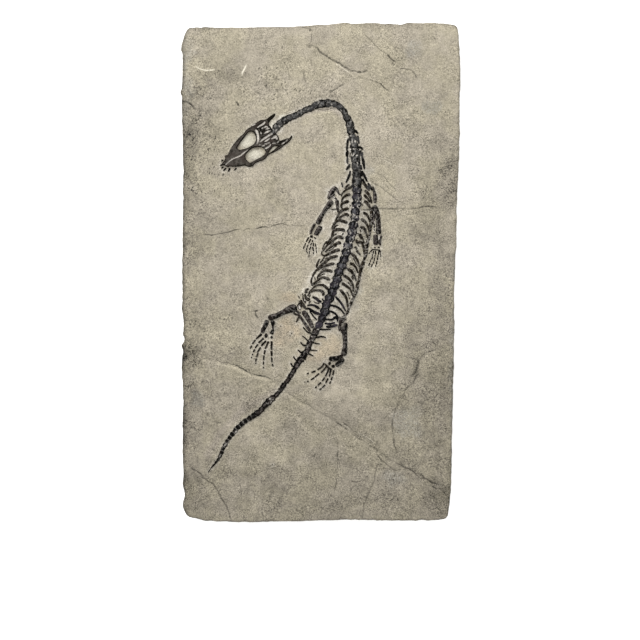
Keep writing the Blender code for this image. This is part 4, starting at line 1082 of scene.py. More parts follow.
luck = np.random.default_rng(SPLINT_SEED)
splints = []
for ribs in NEIGHBOURS:
    for first, second in zip(ribs[:-1], ribs[1:]):
        low, length, width = luck.uniform(*SPLINT_RANGE)
        rows = between(first, second, low, min(low + length, 0.95))
        rows = np.column_stack([rows, np.full(len(rows), width * SQUARE)])
        splints.append(
            carry(rows, 0.3, 8, 400 + len(splints), lump=0.25, pale=0.7, spacing=0.25)
        )
add_piece("belly_rib_splints", splints, RIB_BONE, "bone")
print(len(splints), "splints")

# %% [markdown]
# ## Limbs
#
# The swimming limbs are short. The upper bones are stout rods, flared at both ends; the lower
# ones are flat and nearly rectangular. Under the slab's weight they were pressed flat, so each
# is lower along its middle than at its edges. Wrist and ankle bones are small pebbles, and each
# finger or toe is a row of tiny rods with gaps where the cartilage has gone.

# %% Shoulders, hips and long bones: x, y and width along each
LIMB_BONES = named("""
    left_clavicle: 335.8,186.6,2.8 333.4,189.4,4.4 331.2,192.8,4.4 329.4,196.4,3.6 328.4,199,2 /
      335.6,187.2,2.4 337.2,190.4,2.6 339,194,1.6 / 334.8,193.6,1.4 332.4,195.6,1.9 329.8,198,1.4;
    left_scapula: 336.8,199.6,3.4 337,202.6,3.8 337.6,206.6,3.2 337.9,212,1.7;
    right_scapula: 372.6,186.4,1.4 374,190.6,2.4 374.8,195,3.4 375,199,3.6 374.9,203,2.6;
    left_humerus: 332.6,200.6,4.2 330.4,203,5.4 327.6,206.6,4.8 324.6,210.8,4 321.8,215.2,4.1
        319.9,219,4.8 318.4,221.8,5 317.5,224.2,4.2;
    left_radius: 320.3,226,4 319.7,228,5 317.9,231,5.1 316.6,233.4,4.8 315.9,235.3,4.2;
    left_ulna: 314.6,223.6,2.2 314,225.4,2.9 312.5,228.4,2.5 311.3,231,2.3 310.5,233.8,2.4;
    right_humerus: 373.6,205.4,4.4 375.4,208.4,5.2 377,213,5 378,219,5 378.4,226,5.1 378.4,231,5.4
        378.3,234.4,5.2;
    right_radius: 375.6,234.4,4.8 375.6,237.4,4.9 375.6,241.6,4.9 375.7,244.9,4.8;
    right_ulna: 382,235.8,1.5 381,236.8,2.1 380.5,239,1.9 380.3,242,1.9 380.2,245.6,2.1;
    left_ilium: 302.6,311,3.4 304.4,313.2,5 306.6,316,5 309,320.4,4.6 311.2,324.4,4 312.8,328,2.8;
    left_ischium: 297.4,313.4,2 299.8,316.4,2.6 302.6,320.2,2.7 305.4,324.2,2.8 308,328,3
        310.2,331.4,2.6;
    right_ilium: 338.8,316.8,2.4 340.4,319.8,3.2 340.3,323.6,3 339.5,327.4,3.2 340.4,330.8,3 /
      346.4,318.6,1.2 344,320.2,1.5 342.6,322.6,1.2;
    left_femur: 296.8,306.6,5.4 294.4,307.7,7.6 290.2,309,7.6 285.6,311.2,6 281,313.4,5.3
        276.4,315.8,5.2 272.4,317.1,5.9 269.8,317.7,5.2 268,318.2,3.4;
    left_tibia: 267,320,4 266.3,323,4.6 264.8,326.6,4.3 263.1,330,4.4 262.5,333,3.6;
    left_fibula: 273.4,320.6,3.6 272.9,322.4,4.5 272.6,325.4,2.4 273,328.4,2.1 272.4,331,3.1
        271.3,334.2,4.4;
    right_femur: 346.2,322.8,2.8 345.4,326.4,4.6 344,330,6.2 344.6,334,5 345.1,340,4.6
        345.1,345,4.4 344.6,349.6,5.1 343.9,353.4,5.8 343.4,356,4.6;
    right_tibia: 342.6,355.6,3.2 339.6,357.2,4.2 336,358.4,4.9 332,358.7,4.7 328.8,358.6,3.6;
    right_fibula: 344.2,359,2.8 342.2,360.8,4.2 339.6,362.8,4.8 337.2,364.6,4.4 335.6,365.6,3
""")
# The third number of each also scales the painted highlight on the bone's upper left side and the
# painted shade at its edges.
GIRDLE = (0.95, 0.6, 0.85, -0.05)  # rise, bluntness of the ends, polish and stain
LIMB_LOOKS = {
    "femur": (1.3, 0.6, 1.0, 0.42), "humerus": (1.25, 0.6, 0.9, 0.26),
    "tibia": (0.95, 0.35, 0.6, 0.4), "fibula": (0.95, 0.35, 0.6, 0.4),
    "radius": (0.95, 0.35, 0.75, -0.12), "ulna": (0.95, 0.35, 0.7, -0.12),
    "clavicle": (1.05, 0.6, 0.85, -0.05), "scapula": (0.9, 0.6, 0.85, -0.05),
}
for number, (name, texts) in enumerate(LIMB_BONES.items()):
    rise, blunt, polish, stained = LIMB_LOOKS.get(name.split("_")[1], GIRDLE)
    add_rods(name, texts, LIMB_BONE, rise, 28, 200 + 3 * number, name, saddle=0.2, lump=0.07,
             pale=0.14, spacing=0.16, blunt=blunt, polish=polish, stained=stained)

# %% Hands and feet: wrist or ankle pebbles, then rods, one after another
SMALL_BONES = named("""
    left_hand: 309.9,236.1,2.7 312.9,236.9,2.9 / 314.2,237.2,1.5 315.9,239.1,1.8 /
      308.9,237.2,1.7 307.4,239.6,1.5 306.3,242,1.6 / 305.8,242.8,1.3 304.5,245.5,1.2 /
      304.3,245.9,1.2 303.1,249,1.1 / 310.8,238.8,1.7 309.4,241.6,1.5 308.3,243.3,1.4 /
      308.2,244.4,1.4 307.1,247.2,1.3 / 306.9,247.5,1.2 306.3,250.5,1.1 /
      306.3,250.8,1.1 307.7,253.3,1.1 / 312.4,239.9,1.7 312.6,242.1,1.6 /
      311.7,242.8,1.3 310.3,245.5,1.3 / 310.7,246.4,1.6 309.5,249.9,1.5 /
      309.4,251,1.2 309.3,254,1.1 / 309.2,254.5,1 308.6,257.2,1 /
      313.3,242.8,1.4 313.5,246.3,1.4 / 312.6,246.8,1.5 313.5,251.2,1.6 /
      313.4,252,1.3 313.7,254.3,1.1 / 315.2,243.4,1.3 315.9,246.8,1.3 /
      316,247.4,1.1 316.3,249.7,1.1 / 316.3,250.2,1.1 316.6,253.2,1;
    right_hand: 374,247.5,1.7 375.8,247.6,1.7 / 377.6,247.2,1.9 379.8,247.8,1.9 /
      373,249.5,1 375.6,249.7,1.2 378,249.9,1.2 380.4,250.1,1.2 /
      373.3,249.1,1.5 371.6,250.4,1.4 370.1,252,1.5 / 369.9,252.4,1.2 368.6,254,1 /
      373.6,250.6,1.2 372.9,253.8,1.2 / 372.5,254,1.2 372.3,256.4,1.2 /
      372.8,256.8,1.2 371.3,259.4,1.3 / 371,259.8,1.1 370,262.2,1.1 /
      369.7,262.5,1.3 368.7,266,1.3 / 375.4,250.6,1.4 375.7,254.6,1.4 /
      375.2,254.9,1.2 374.7,256.6,1.2 / 374.6,257.4,1.3 374.2,261,1.3 /
      373.8,261.3,1.3 372.9,263.6,1.3 / 372.6,263.9,1.3 371,267.1,1.2 /
      379,250.6,1.5 378.4,254.6,1.5 / 378.1,255,1.2 377.8,257.2,1.2 /
      377.7,257.4,1.6 377.4,260.1,1.6 / 376.9,261,1.4 376.3,264.5,1.4 /
      375.9,264.9,1.2 375.4,266.8,1.1 / 380.2,250.6,1.4 380.4,252.8,1.3 /
      380.5,253.2,1 380.8,257.2,0.9;
    left_foot: 264.4,335.2,3.4 266.2,335.6,4.4 267.8,335.8,3.4 / 270.3,337.2,2.4 272.7,337.4,2.4 /
      261.8,334,2.3 259,336.3,1.9 255.8,339.1,1.5 / 255.5,339.8,1.6 252.2,344.1,1.4 /
      251.8,345.3,1.4 250.1,348.8,1.1 / 263.7,338.1,1.9 258.3,343,1.6 /
      257.9,344.2,1.6 255.1,348,1.4 / 254.8,349.3,1.5 253.1,352.2,1.3 /
      252.9,353.6,1.3 252.1,355.4,1.2 / 251.7,356.8,1.2 251.2,358.4,1 /
      266,340.7,1.9 261.1,346,1.6 / 260.8,347.1,1.6 257.4,352.2,1.4 /
      258.2,352.8,1.5 256.4,357.1,1.4 / 256.3,358.3,1.4 255.7,361.7,1.2 /
      255.7,362.6,1.1 255.8,364,0.9 / 268.7,341.2,1.9 265.1,349,1.6 /
      265,349.9,1.7 264.2,354.2,1.5 / 264,355.3,1.5 263.6,360.2,1.3 /
      263.6,361.3,1.3 263.3,364.8,1.2 / 263.4,366.6,1.3 263.7,368.4,1.1 /
      271.6,341,2 271.5,349.7,1.6 / 271.4,350.8,2 271.7,356.2,1.6 /
      271.7,357.4,1.7 271.8,362.2,1.4 / 272.2,363.8,1.4 273.1,366.3,1.2;
    right_foot: 328.3,363,2.8 330.8,364,2.8 / 331.4,366.4,2.6 334.9,366.2,3 /
      325.2,364.2,1.4 327.4,366.6,1.7 329.6,368.4,1.7 332,369.7,1.4 /
      324.3,362.8,1.7 322.5,366,1.5 320,368.2,1.5 317.3,369.7,1.3 /
      315.8,370.9,1.5 311.3,372.5,1.3 / 308.8,372.9,1.4 306.7,374.2,1.1 /
      326.3,366.6,1.6 324,369.5,1.5 320.8,372.7,1.3 / 319.2,373.4,1.5 314.9,377.1,1.3 /
      314.6,377.4,1.4 310.8,380,1.2 / 308.7,380.9,1.2 307,381.7,1.1 /
      305.4,381.8,1 304.4,382.4,0.9 / 328.8,367.6,1.6 327.5,372,1.4 325.3,376.3,1.4 /
      324.6,377.3,1.5 322.2,381.2,1.3 / 321.1,382.3,1.4 317.8,385.2,1.3 /
      316.6,386.2,1.4 315.1,388.2,1.1 / 330.8,369.6,1.6 329.4,376.7,1.4 /
      328.1,378.3,1.5 325.6,383.2,1.3 / 325.1,384.8,1.4 322.1,387.7,1.2 /
      321.7,388.3,1.2 319.3,390,1 / 334,370.1,1.7 332.7,375.3,1.4 /
      332.4,376.8,1.5 330.9,380.2,1.3 / 330.9,381.3,1.3 329.3,383.8,1.1
""")
DIGIT_GIRTH = {"left_hand": 0.9, "right_hand": 1.0, "left_foot": 1.12, "right_foot": 1.12}
for name, texts in SMALL_BONES.items():
    add_rods(name, texts, RIB_BONE, 0.5, 12, 0, name, girth=DIGIT_GIRTH[name], lump=0.1,
             pale=0.04, spacing=0.16, blunt=0.6, polish=0.25)

# %% [markdown]
# ## Stone slab
#
# The slab was split along its bedding and its sides broken roughly square. One fine grid covers
# the face; rings of points carry on down the sides; coarser rings close the underside. The face
# is raised and lowered by gentle hills, a low ledge, cracks, the scraping round the bones and
# the wear of the rim. The same distances that shape the stone are kept as values on its points,
# so the paint can draw a crack far more sharply than the grid alone could.

# %% The slab's outline, anticlockwise from its upper left corner
SLAB_LEFT = """
    193.4,28.4 190,28.1 187.9,29.4 186.6,31.6 185,34.8 183.2,40 181.7,46 181.6,50.4 182.7,52.6
    182.8,58 182.8,70 182.6,82 182.2,88 180.9,92 181.4,95 182.2,98 182,106 182.3,120 182.7,136
    183.2,150 183.4,166 183.4,178 183,190 183.4,206 182.9,220 182.8,240 182.6,270 182.7,300
    182.1,310 183.4,316 183.9,328 183.2,334 184.6,338 184,342 181.9,346 183.7,352 182.3,358
    182.5,376 183.4,394 183.6,406 183.1,418 183,436 182.9,448 183.6,466 183.5,478 183,484
    184.8,495 183.4,502 183.5,508 185.6,513.6
"""
SLAB_FOOT = """
    188.6,516.3 192,517.4 198,518.7 204,520.2 216,520.9 234,521.5 246,522 270,521.3 300,520.9
    330,520 348,519.5 378,520 402,520.3 426,520 438,519.4
"""
SLAB_RIGHT = """
    444.6,518.6 446.6,517 448,514 448.8,508 450,496 450.9,484 451.4,460 451.8,430 452.5,406
    453.1,380 453.7,350 454,328 453.7,304 454.3,280 455,262 456.2,240 456.4,210 457,190 458,178
    458.6,160 459.4,130 459.2,106 459.8,82 459.5,58 458.7,40 457.9,31
"""
SLAB_HEAD = """
    456.4,27 454,25.2 450,24.4 444,23.4 426,23.1 408,23.2 404.6,24.2 401,24.8 396,23.8 390,23.6
    384,24.1 372,23.2 354,23.8 348,22.9 336,23.9 318,25.1 306,26.2 288,27 264,27.2 240,27.8 222,28
    210,27.4 206.6,27.4 204.6,29 202,28.6 199,27.8 196,28.4
"""
WIDE, LONG = 200, 360  # cells of the face grid, multiples of 8 so that the underside can halve
FRAY, FRAY_SIZE, FRAY_INSET = 0.16, 2.4, -0.22  # mm; a negative inset is outwards


def across_of(run):
    """Unit vectors at right angles to the steps of a line, to its left."""
    return np.stack([-run[:, 1], run[:, 0]], axis=1) / np.hypot(*run.T)[:, None]


def slab_sides():
    """The four sides as rows of points, each ending where the next begins."""
    lines = [line(text) for text in (SLAB_LEFT, SLAB_FOOT, SLAB_RIGHT, SLAB_HEAD)]
    loop = curve(np.vstack(lines), 0.2, closed=True)
    starts = [np.hypot(*(loop - side[0]).T).argmin() for side in lines] + [len(loop) - 1]
    fray = FRAY * rough(loop[:, 0], loop[:, 1], FRAY_SIZE, 61) + FRAY_INSET
    loop = loop + across_of(np.gradient(loop, axis=0)) * fray[:, None]
    loop[-1] = loop[0]
    return [
        at_shares(loop[a : b + 1], np.linspace(0, 1, cells + 1))
        for a, b, cells in zip(starts[:-1], starts[1:], (LONG, WIDE, LONG, WIDE))
    ]


def fill_sides(left, foot, right, head):
    """A grid that fills four sides (a Coons patch).

    The blend between the left and right sides, plus the blend between foot and head, less the
    flat blend between the four corners. Sides run anticlockwise; rows of the grid run upwards.
    """
    left, head = left[::-1], head[::-1]
    u = np.linspace(0, 1, len(foot))[None, :, None]
    v = np.linspace(0, 1, len(left))[:, None, None]
    between = left[:, None] * (1 - u) + right[:, None] * u + foot[None] * (1 - v) + head[None] * v
    corners = (foot[0] * (1 - u) + foot[-1] * u) * (1 - v) + (head[0] * (1 - u) + head[-1] * u) * v
    return between - corners


def edge_numbers(rows, columns):
    """Point numbers round a grid, anticlockwise from its first corner."""
    grid = np.arange(rows * columns).reshape(rows, columns)
    return np.concatenate([grid[0, :-1], grid[:-1, -1], grid[-1, :0:-1], grid[:0:-1, 0]])


grid = fill_sides(*slab_sides())
rows, columns = grid.shape[:2]
x, y = grid[..., 0].ravel(), grid[..., 1].ravel()
edge = edge_numbers(rows, columns)
outline = np.vstack([grid.reshape(-1, 2)[edge], grid[0, 0]])
print("face grid", rows, "by", columns, "points, outline", np.ptp(outline, axis=0).round(1), "mm")

# %% How far every point of the face is from the rim and from the nearest bone
FAR = 9.0  # stands for any greater distance, in mm
RIM_CELLS = 12  # rows of points along the rim whose distance to it is worked out
BONE_POINTS = 60  # read along a bone
BONE_REACH = 6.0  # mm round all the bones where the distance is worked out

margin = np.full(len(x), FAR)
by_rim = np.ones((rows, columns), bool)
by_rim[RIM_CELLS:-RIM_CELLS, RIM_CELLS:-RIM_CELLS] = False
by_rim = by_rim.ravel()
rim_away, _, rim_reach = trace(x[by_rim], y[by_rim], outline[::2])
margin[by_rim] = rim_away
margin[edge] = 0.0

samples = np.vstack([bone[:: max(1, len(bone) // BONE_POINTS)] for bone in laid])
low, high = samples[:, :2].min(0) - BONE_REACH, samples[:, :2].max(0) + BONE_REACH
near = (x > low[0]) & (x < high[0]) & (y > low[1]) & (y < high[1])


def nearest_bone(px, py):
    """Distance from each point to the edge of the nearest bone."""
    away = np.hypot(px[:, None] - samples[:, 0], py[:, None] - samples[:, 1])
    return ((away - samples[:, 2]).min(1),)


to_bone = np.full(len(x), FAR)
(to_bone[near],) = in_batches(nearest_bone, x[near], y[near])
print(len(samples), "bone samples,", int((to_bone < 1.5).sum()), "points of the face beside bone")

# %% Cracks: half width in mm, darkness and depth in mm, then the line
CRACKS = """
    0.34 0.8 0.2: 299.6,26 305,27.6 310.6,30.4 / 0.3 0.7 0.2: 310.8,30.6 311.2,37 310.2,45 /
    0.75 1 0.4: 309.6,29.8 311,30.6 /
    0.48 1 0.35: 309.5,45.6 313,45.4 317,48 320,52 324,54 329,57.4 333,59.6 338,62.6 344,66.4
      350.6,71 / 0.95 1 0.5: 308.8,45.4 310.8,46.2 / 0.36 1 0.2: 349,70.4 353,71 358,71.4 /
    0.55 1 0.3: 356,71.6 360,72.2 364,71.4 367.4,69.8 /
    0.26 0.6 0.15: 350.6,71.6 356,75 362,77.4 369.4,79.6 /
    0.32 0.9 0.2: 368,79 374,81 379.6,83.4 382,86.2 385,89 389,91.4 /
    0.28 0.8 0.2: 364,34 370,39.6 376,46 381,51 386,53 /
    0.45 1 0.25: 386.4,52.6 389,56 392.4,59.6 397,63 /
    0.28 0.6 0.15: 397.6,67.4 403,68.8 408,69.4 413,71 /
    0.48 1 0.2: 411.6,70.6 414,72.4 415.6,75 416.8,80 /
    0.48 1 0.25: 344.6,84.4 340,86.4 334,89.5 331,91.6 / 0.75 1 0.4: 332.2,90.8 330.2,91.8 /
    0.5 1 0.25: 177,101.4 186,102 190,103 193,106 196,109.5 /
    0.36 0.85 0.2: 201,117 195,121.8 189.8,127.2 186.4,135.6 184.2,144 /
    0.27 0.6 0.2: 329,209.6 331,209.5 338,209.4 348,209.5 /
    0.43 1 0.25: 362,209.8 379,208.7 388,208.6 397,208.6 410,208.6 420,207.6 430,206.2 437,207 /
    0.3 0.6 0.15: 370,171 383,176 389,183 396,190 /
    0.3 0.6 0.15: 370,181 384,189 395,198 405,204 412,207 /
    0.32 0.95 0.2: 203,234.6 209,234.9 214.3,235 223.3,232.9 228.5,232.4 234.8,229.7 241,228.7 /
    0.3 0.8 0.15: 242,230.6 244,230.4 247.5,228.5 250.6,228.2 /
    0.34 1 0.2: 254,229 257,228.5 262,227 265.4,226.4 269.5,227.6 /
    0.3 0.85 0.2: 270,227 273,225.4 278,224.2 281.2,223.4 284,224 288.5,225.2 /
    0.26 0.7 0.15: 292,225.4 298,225.6 306,224.8 / 0.24 0.6 0.1: 290,214.6 299,213.6 309,213 /
    0.62 1 0.3: 418.6,360 418,364 416.8,368.6 414.4,372.8 411.8,377 410.8,382.6 /
    0.52 0.95 0.25: 410,384.4 405.6,389.4 403.6,394 401.4,398 /
    0.42 0.75 0.2: 400,400.4 397,406 394,414 392.2,424 392.6,434 394,444 397,452 /
    0.3 0.75 0.15: 337.4,438.6 338,450 337.4,461 336.8,470 /
    0.32 0.8 0.15: 336.2,477 335.8,484 334.7,492 /
    0.36 0.7 0.2: 380,460.6 376,470 374.8,477.6 371,488 367,497 364,507 361.8,520 /
    0.41 0.8 0.2: 189,468 198,472 207.4,480.6 214.8,486.6 221,498 227,507 230.6,519 /
    0.3 1 0.3: 335,421.4 341,425.4 348.6,430.2 / 0.28 0.9 0.2: 338.6,419.4 344.6,423.6 350,427.8 /
    0.28 0.8 0.2: 355.4,431.6 361,434.6 367,438.4 374,443.6 /
    0.28 0.75 0.2: 350.4,433 356,436.4 363,440.6 372,446.6 379,453 /
    0.36 0.85 0.3: 376.4,454.6 383,461 389,466 394,469.4 400,470 411,471 /
    0.32 0.75 0.2: 411,466 418,472 425,477 / 0.4 1 0.3: 422,476.4 427,479.6 431,482 438,483.8 /
    0.28 0.8 0.2: 398,464.6 404,467 411,470 417,475.4 424,481 431,485 438,489.6 /
    0.32 0.75 0.2: 436,486 442,490 448,497 / 0.46 0.85 0.2: 417.4,400.6 420,402 424,403.4 /
    0.3 0.6 0.2: 424,400.6 430,399.6 / 0.32 0.75 0.2: 350,480.6 356,482 361,481 /
    0.4 0.9 0.3: 376,479.6 378.8,482.4 / 0.46 0.9 0.25: 265.4,295.6 267.4,299 269,302 /
    0.52 0.9 0.25: 253,311 257.4,311.4 256.4,313.4 /
    0.48 0.95 0.25: 254.4,311.4 256.4,315.4 258.6,319.4 / 0.3 0.5 0.1: 268.4,303.4 269,306 /
    0.3 0.5 0.1: 271.2,302.6 271.6,305.4 / 0.3 0.4 0.1: 240.4,322 243,327 /
    0.3 0.4 0.1: 245,321 246,325 / 0.3 0.4 0.1: 251,322 253,324.8 /
    0.4 0.5 0.1: 249.4,330.4 249.8,331.6 / 0.34 0.4 0.1: 250.6,315.4 252.4,316.4 /
    0.47 0.9 0.2: 194.6,428 195.6,429.4 / 0.45 0.9 0.2: 181.6,300 183.6,303 /
    0.4 0.8 0.2: 183,346 184.6,349 / 0.3 0.5 0.1: 201.6,362.4 201.4,365 /
    0.41 0.6 0.15: 303,71 304.4,77 305.6,84 / 0.6 0.95 0.15: 264.4,84 265.6,86.4 266.6,89.4 /
    0.52 0.85 0.15: 275,88.4 277.8,93.8 / 0.56 0.75 0.15: 268.6,89 270.6,92 /
    0.5 0.7 0.15: 254.4,90.6 258,92.6 261.4,95.4 / 0.58 0.95 0.15: 235.8,101 238,103.4 240,106 /
    0.4 0.6 0.15: 310.4,58.6 311.8,66.6 / 0.4 0.6 0.15: 225.4,90 227,96 /
    0.4 0.6 0.15: 222.6,102 224.2,106.6 / 0.46 0.7 0.15: 212.2,123.8 214,125 /
    0.46 0.6 0.15: 253.6,74 256.4,77 / 0.5 0.7 0.15: 204.8,75 206,76.2 /
    0.36 0.6 0.15: 200,110.6 198.2,116.6 / 0.36 0.6 0.15: 202,126.4 198,130.6 196,134.4 /
    0.3 0.55 0.15: 283,60 287,67 290.4,78 / 0.3 0.5 0.15: 280.6,82 283.6,90 /
    0.3 0.5 0.15: 264,84 266.6,90.6 /
    0.3 0.7 0.1: 316,110 321,109.4 327,109.6 331,108.4 336,108.6 /
    0.25 0.45 0.1: 341,96 348,99 355,97 /
    0.32 0.9 0.2: 434,350.2 430,351 426,353.2 422,356.2 419.4,359.4 /
    0.5 0.8 0.2: 421.6,362 420.4,367 418,372 414.6,378.6 412.8,383
"""
CRACK_SHAKE, SCRATCH_SHAKE, LEDGE_SHAKE, FLAKE_SHAKE = 0.28, 0.12, 0.3, 0.4
# Scratches are pale, and given in the same way.
SCRATCHES = """
    0.3 1 0: 195.6,65.4 199,68.4 206,70.4 215,69.4 /
    0.38 1.2 0: 246.4,64.4 244.2,69 242.6,72 241.6,75.4 / 0.25 0.5 0: 282,106 285,104.4 288,102 /
    0.22 0.4 0: 384,160 396,166 408,168 / 0.24 0.6 0: 336,63.4 341,66.8 346,70.6 350,73 /
    0.18 0.2 0: 249.4,256.6 253,253.6 256,251.6 / 0.2 0.25 0: 213,247 216,252 219,254 /
    0.3 0.6 0: 358,432.6 366,437 374,442.4 / 0.26 0.5 0: 340,422.6 346,426.6 351,430.4
"""


def strokes(text):
    """The numbers and the line of each entry, of a text like "0.3 0.7 0.2: line / ..."."""
    for entry in several(text):
        numbers, points = entry.split(":")
        yield [float(number) for number in numbers.split()], points


def local(path, reach):
    """The points of the face within `reach` of a line's own box."""
    low, high = path[:, :2].min(0) - reach, path[:, :2].max(0) + reach
    return np.flatnonzero((x > low[0]) & (x < high[0]) & (y > low[1]) & (y < high[1]))


def wander(text, amount, seed):
    """A drawn line shaken sideways a little, as cracks run."""
    path = curve(line(text), 0.4)
    shift = [amount * rough(path[:, 0], path[:, 1], 2.5, seed + k) for k in (0, 9)]
    return path + np.stack(shift, axis=1)


def to_end(reach, path):
    """Distance along a line to the nearer of its two ends."""
    return np.minimum(reach, reach_of(path)[-1] - reach)


def drawn(text, shake, seed):
    """For thin lines: the distance across in half widths, the strength, and the groove's depth."""
    across, strong, deep = np.full(len(x), 3.0), np.zeros(len(x)), np.zeros(len(x))
    for number, ((half, strength, depth), points) in enumerate(strokes(text)):
        path = wander(points, shake, seed + number)
        here = local(path, 3)
        away, side, reach = trace(x[here], y[here], path)
        fade = ease(to_end(reach, path), -0.4, min(1.2, reach_of(path)[-1] / 3))
        fade = fade * (0.7 + 0.3 * hills(x[here], y[here], 3.0, number)) * ease(2.4 - away, 0, 1.2)
        better = strength * fade > strong[here]
        across[here] = np.where(better, side * away / half, across[here])
        strong[here] = np.maximum(strong[here], strength * fade)
        deep[here] = np.maximum(deep[here], depth * fade * np.clip(1 - away / (2.2 * half), 0, 1))
    return across, strong, deep


crack, crack_dark, groove = drawn(CRACKS, CRACK_SHAKE, 300)
scratch, scratch_pale, _ = drawn(SCRATCHES, SCRATCH_SHAKE, 360)
print(len(several(CRACKS)), "cracks, deepest", round(float(groove.max()), 2), "mm")

# %% Pinkish bands: half width in mm and how much paler, then the line
TINTS = """
    2.2 -0.05: 279,389 262,399 245,409 228,425 216,441 205,462 /
    1.1 0: 290,120 300,115.4 310,111.6 322,109.6 334,109.8 340.6,113.6 344.4,121
"""
tint, tint_shade = np.zeros(len(x)), np.zeros(len(x))
for (half, paler), points in strokes(TINTS):
    path = curve(line(points), 0.4)
    here = local(path, 3 * half)
    away, _, reach = trace(x[here], y[here], path)
    share = bell(away + 0.5 * rough(x[here], y[here], 4.0, 370), half)
    share = share * ease(to_end(reach, path), -1, 4)
    tint[here] = np.maximum(tint[here], share)
    tint_shade[here] += paler * share
print(int((tint > 0.5).sum()), "points in the pinkish bands")

# %% Ledge: a low step, with a painted highlight on its lip and painted shade along its foot
LEDGE = """
    198,358.4 204,358.6 213,358.8 221,362 233,364.4 240,368.2 248,372.4 255,374.4 262,376 270,379
    276,383.6 285,391 300,401 311,406.6 322,413.6 335,420.6 346.6,428.2 356,434.4 367,440.6
    376,448.6 384,455.6 392,460.4 400,464.2 408,468.4 414,471.6 422.6,477 431,481.6 437.7,484.6
    446.4,491.7 452,497
"""
LEDGE_RISE, LEDGE_RAMP, LEDGE_FALL = 0.5, 1.2, 9.0  # mm high, up over 1.2 and down over 9
LEDGE_GAP = (-20.5, -57.3)  # where the ledge dies out for a little
ledge_path = wander(LEDGE, LEDGE_SHAKE, 350)
here = local(ledge_path, 12)
away, side, reach = trace(x[here], y[here], ledge_path)
below = -side * away
calm = ease(np.hypot(x[here] - LEDGE_GAP[0], y[here] - LEDGE_GAP[1]), 3, 7)
strength = 0.55 + 0.1 * ease(reach, 95, 105) + 0.75 * bell(reach - 27, 11)
strength = strength * (0.85 + 0.3 * hills(x[here], y[here], 4.0, 351))
strength = strength * ease(to_end(reach, ledge_path), 0, 4) * (0.25 + 0.75 * calm)
ramp = np.minimum(below / LEDGE_RAMP, 1 - (below - LEDGE_RAMP) / LEDGE_FALL)
ledge, ledge_foot_shade, lip, foot_shade = np.zeros((4, len(x)))
foot_line = np.full(len(x), 3.0)
ledge[here] = LEDGE_RISE * np.clip(ramp, 0, 1) * strength
# Painted shade in a soft band along the foot of the step, a painted highlight on its lip, and a
# dark line of painted shade at the foot itself.
ledge_foot_shade[here] = bell(below + 0.4, 2.4) * ease(reach, 20, 45)
lip[here] = strength * bell(below - 1.3, 0.8) * (below > -0.2) * (1 - 0.6 * ease(reach, 60, 85))
foot_line[here] = np.clip((below + 0.1) / 0.36, -3, 3)
foot_shade[here] = strength * ease(3 - away, 0, 1.5) * (1 - 0.4 * ease(reach, 45, 60))
groove[here] = np.maximum(groove[here], 0.16 * strength * np.clip(1 - np.abs(below) / 0.7, 0, 1))
print("ledge up to", round(float(ledge.max()), 2), "mm high")

# %% Flake at the lower right: the stone below its edge is darker
FLAKE = """
    424,340 419,356 415,372 410.6,383 404,391 398,403 394,414 392.2,424 392.6,434 394,444 398,454
"""
FLAKE_SHADE = 0.055
flake_path = wander(FLAKE, FLAKE_SHAKE, 380)
here = local(flake_path, 26)
away, side, reach = trace(x[here], y[here], flake_path)
flake = np.zeros(len(x))
flake[here] = ease(side * away, -0.3, 0.5) * ease(26 - away, 0, 14)
flake[here] *= ease(to_end(reach, flake_path), 0, 12)
print(int((flake > 0.5).sum()), "points on the flake")

# %% Height of the face
EDGE_BITES = (0.25, 1.0)  # how high the hills along the rim stand where the edge is bitten
scraped = bell(np.maximum(to_bone, 0), 1.1)
z = STONE_TOP + 0.13 * rough(x, y, 26, 62, 2) + 0.05 * rough(x, y, 5.5, 63) * (1 - 0.6 * scraped)
z = z + 0.035 * rough(x, y, 1.7, 64, 2)
z = z + ledge - groove - 0.1 * bell(to_bone - 1.6, 1.1) * ease(to_bone, 0, 0.5)
still = 0 * rim_reach
bites = hills(rim_reach, still, 7.0, 65) + 0.45 * hills(rim_reach, still, 2.4, 66)
bites = ease(bites, *EDGE_BITES)
wear = 0.55 + 1.0 * bites + 0.18 * hills(rim_reach, still, 1.3, 67)
drop = wear * (1 - round_end(rim_away, wear * 1.1))
z[by_rim] -= drop * 0.9 + 0.3 * bites * bell(rim_away, 1.6)
print("face from", z[~by_rim].min().round(2), "to", z.max().round(2), "mm")

# %% Sides, broken along the bedding, and a flat underside
SIDE_RINGS = 19
BED_THICKNESS = 2.6
UNDERSIDE_BEVEL = 0.9
UNDER_INSETS = (0.02, 0.05, 0.09)  # of the two rings and the grid of the underside
shares = np.linspace(0, 1, SIDE_RINGS + 1)[1:, None]
top_edge = np.stack([x[edge], y[edge], z[edge]], axis=1)
inward = across_of(np.roll(top_edge[:, :2], -1, axis=0) - np.roll(top_edge[:, :2], 1, axis=0))
side_z = top_edge[:, 2] * (1 - shares)
around = np.broadcast_to(reach_of(outline)[:-1], side_z.shape)
bed = side_z + 0.5 * hills(around, 0 * around, 18.0, 70)
layers = 0.5 + 0.5 * hills(0 * bed, bed, BED_THICKNESS, 71)
flakes = rough(around, bed * 1.8, 4.5, 72)
inset = 0.1 + 0.6 * layers + 0.4 * np.abs(flakes) + 0.08 * rough(around, bed, 1.1, 73, 2)
inset = inset * ease(shares, 0, 0.14) + UNDERSIDE_BEVEL * ease(shares, 0.93, 1.0) ** 2
wall = np.dstack([
    top_edge[:, 0] + inward[:, 0] * inset, top_edge[:, 1] + inward[:, 1] * inset, side_z
])
wall[-1, :, 2] = 0.0


def flat(points):
    """Points of the underside, at height 0."""
    return np.column_stack([points.reshape(-1, 2), np.zeros(points.size // 2)])


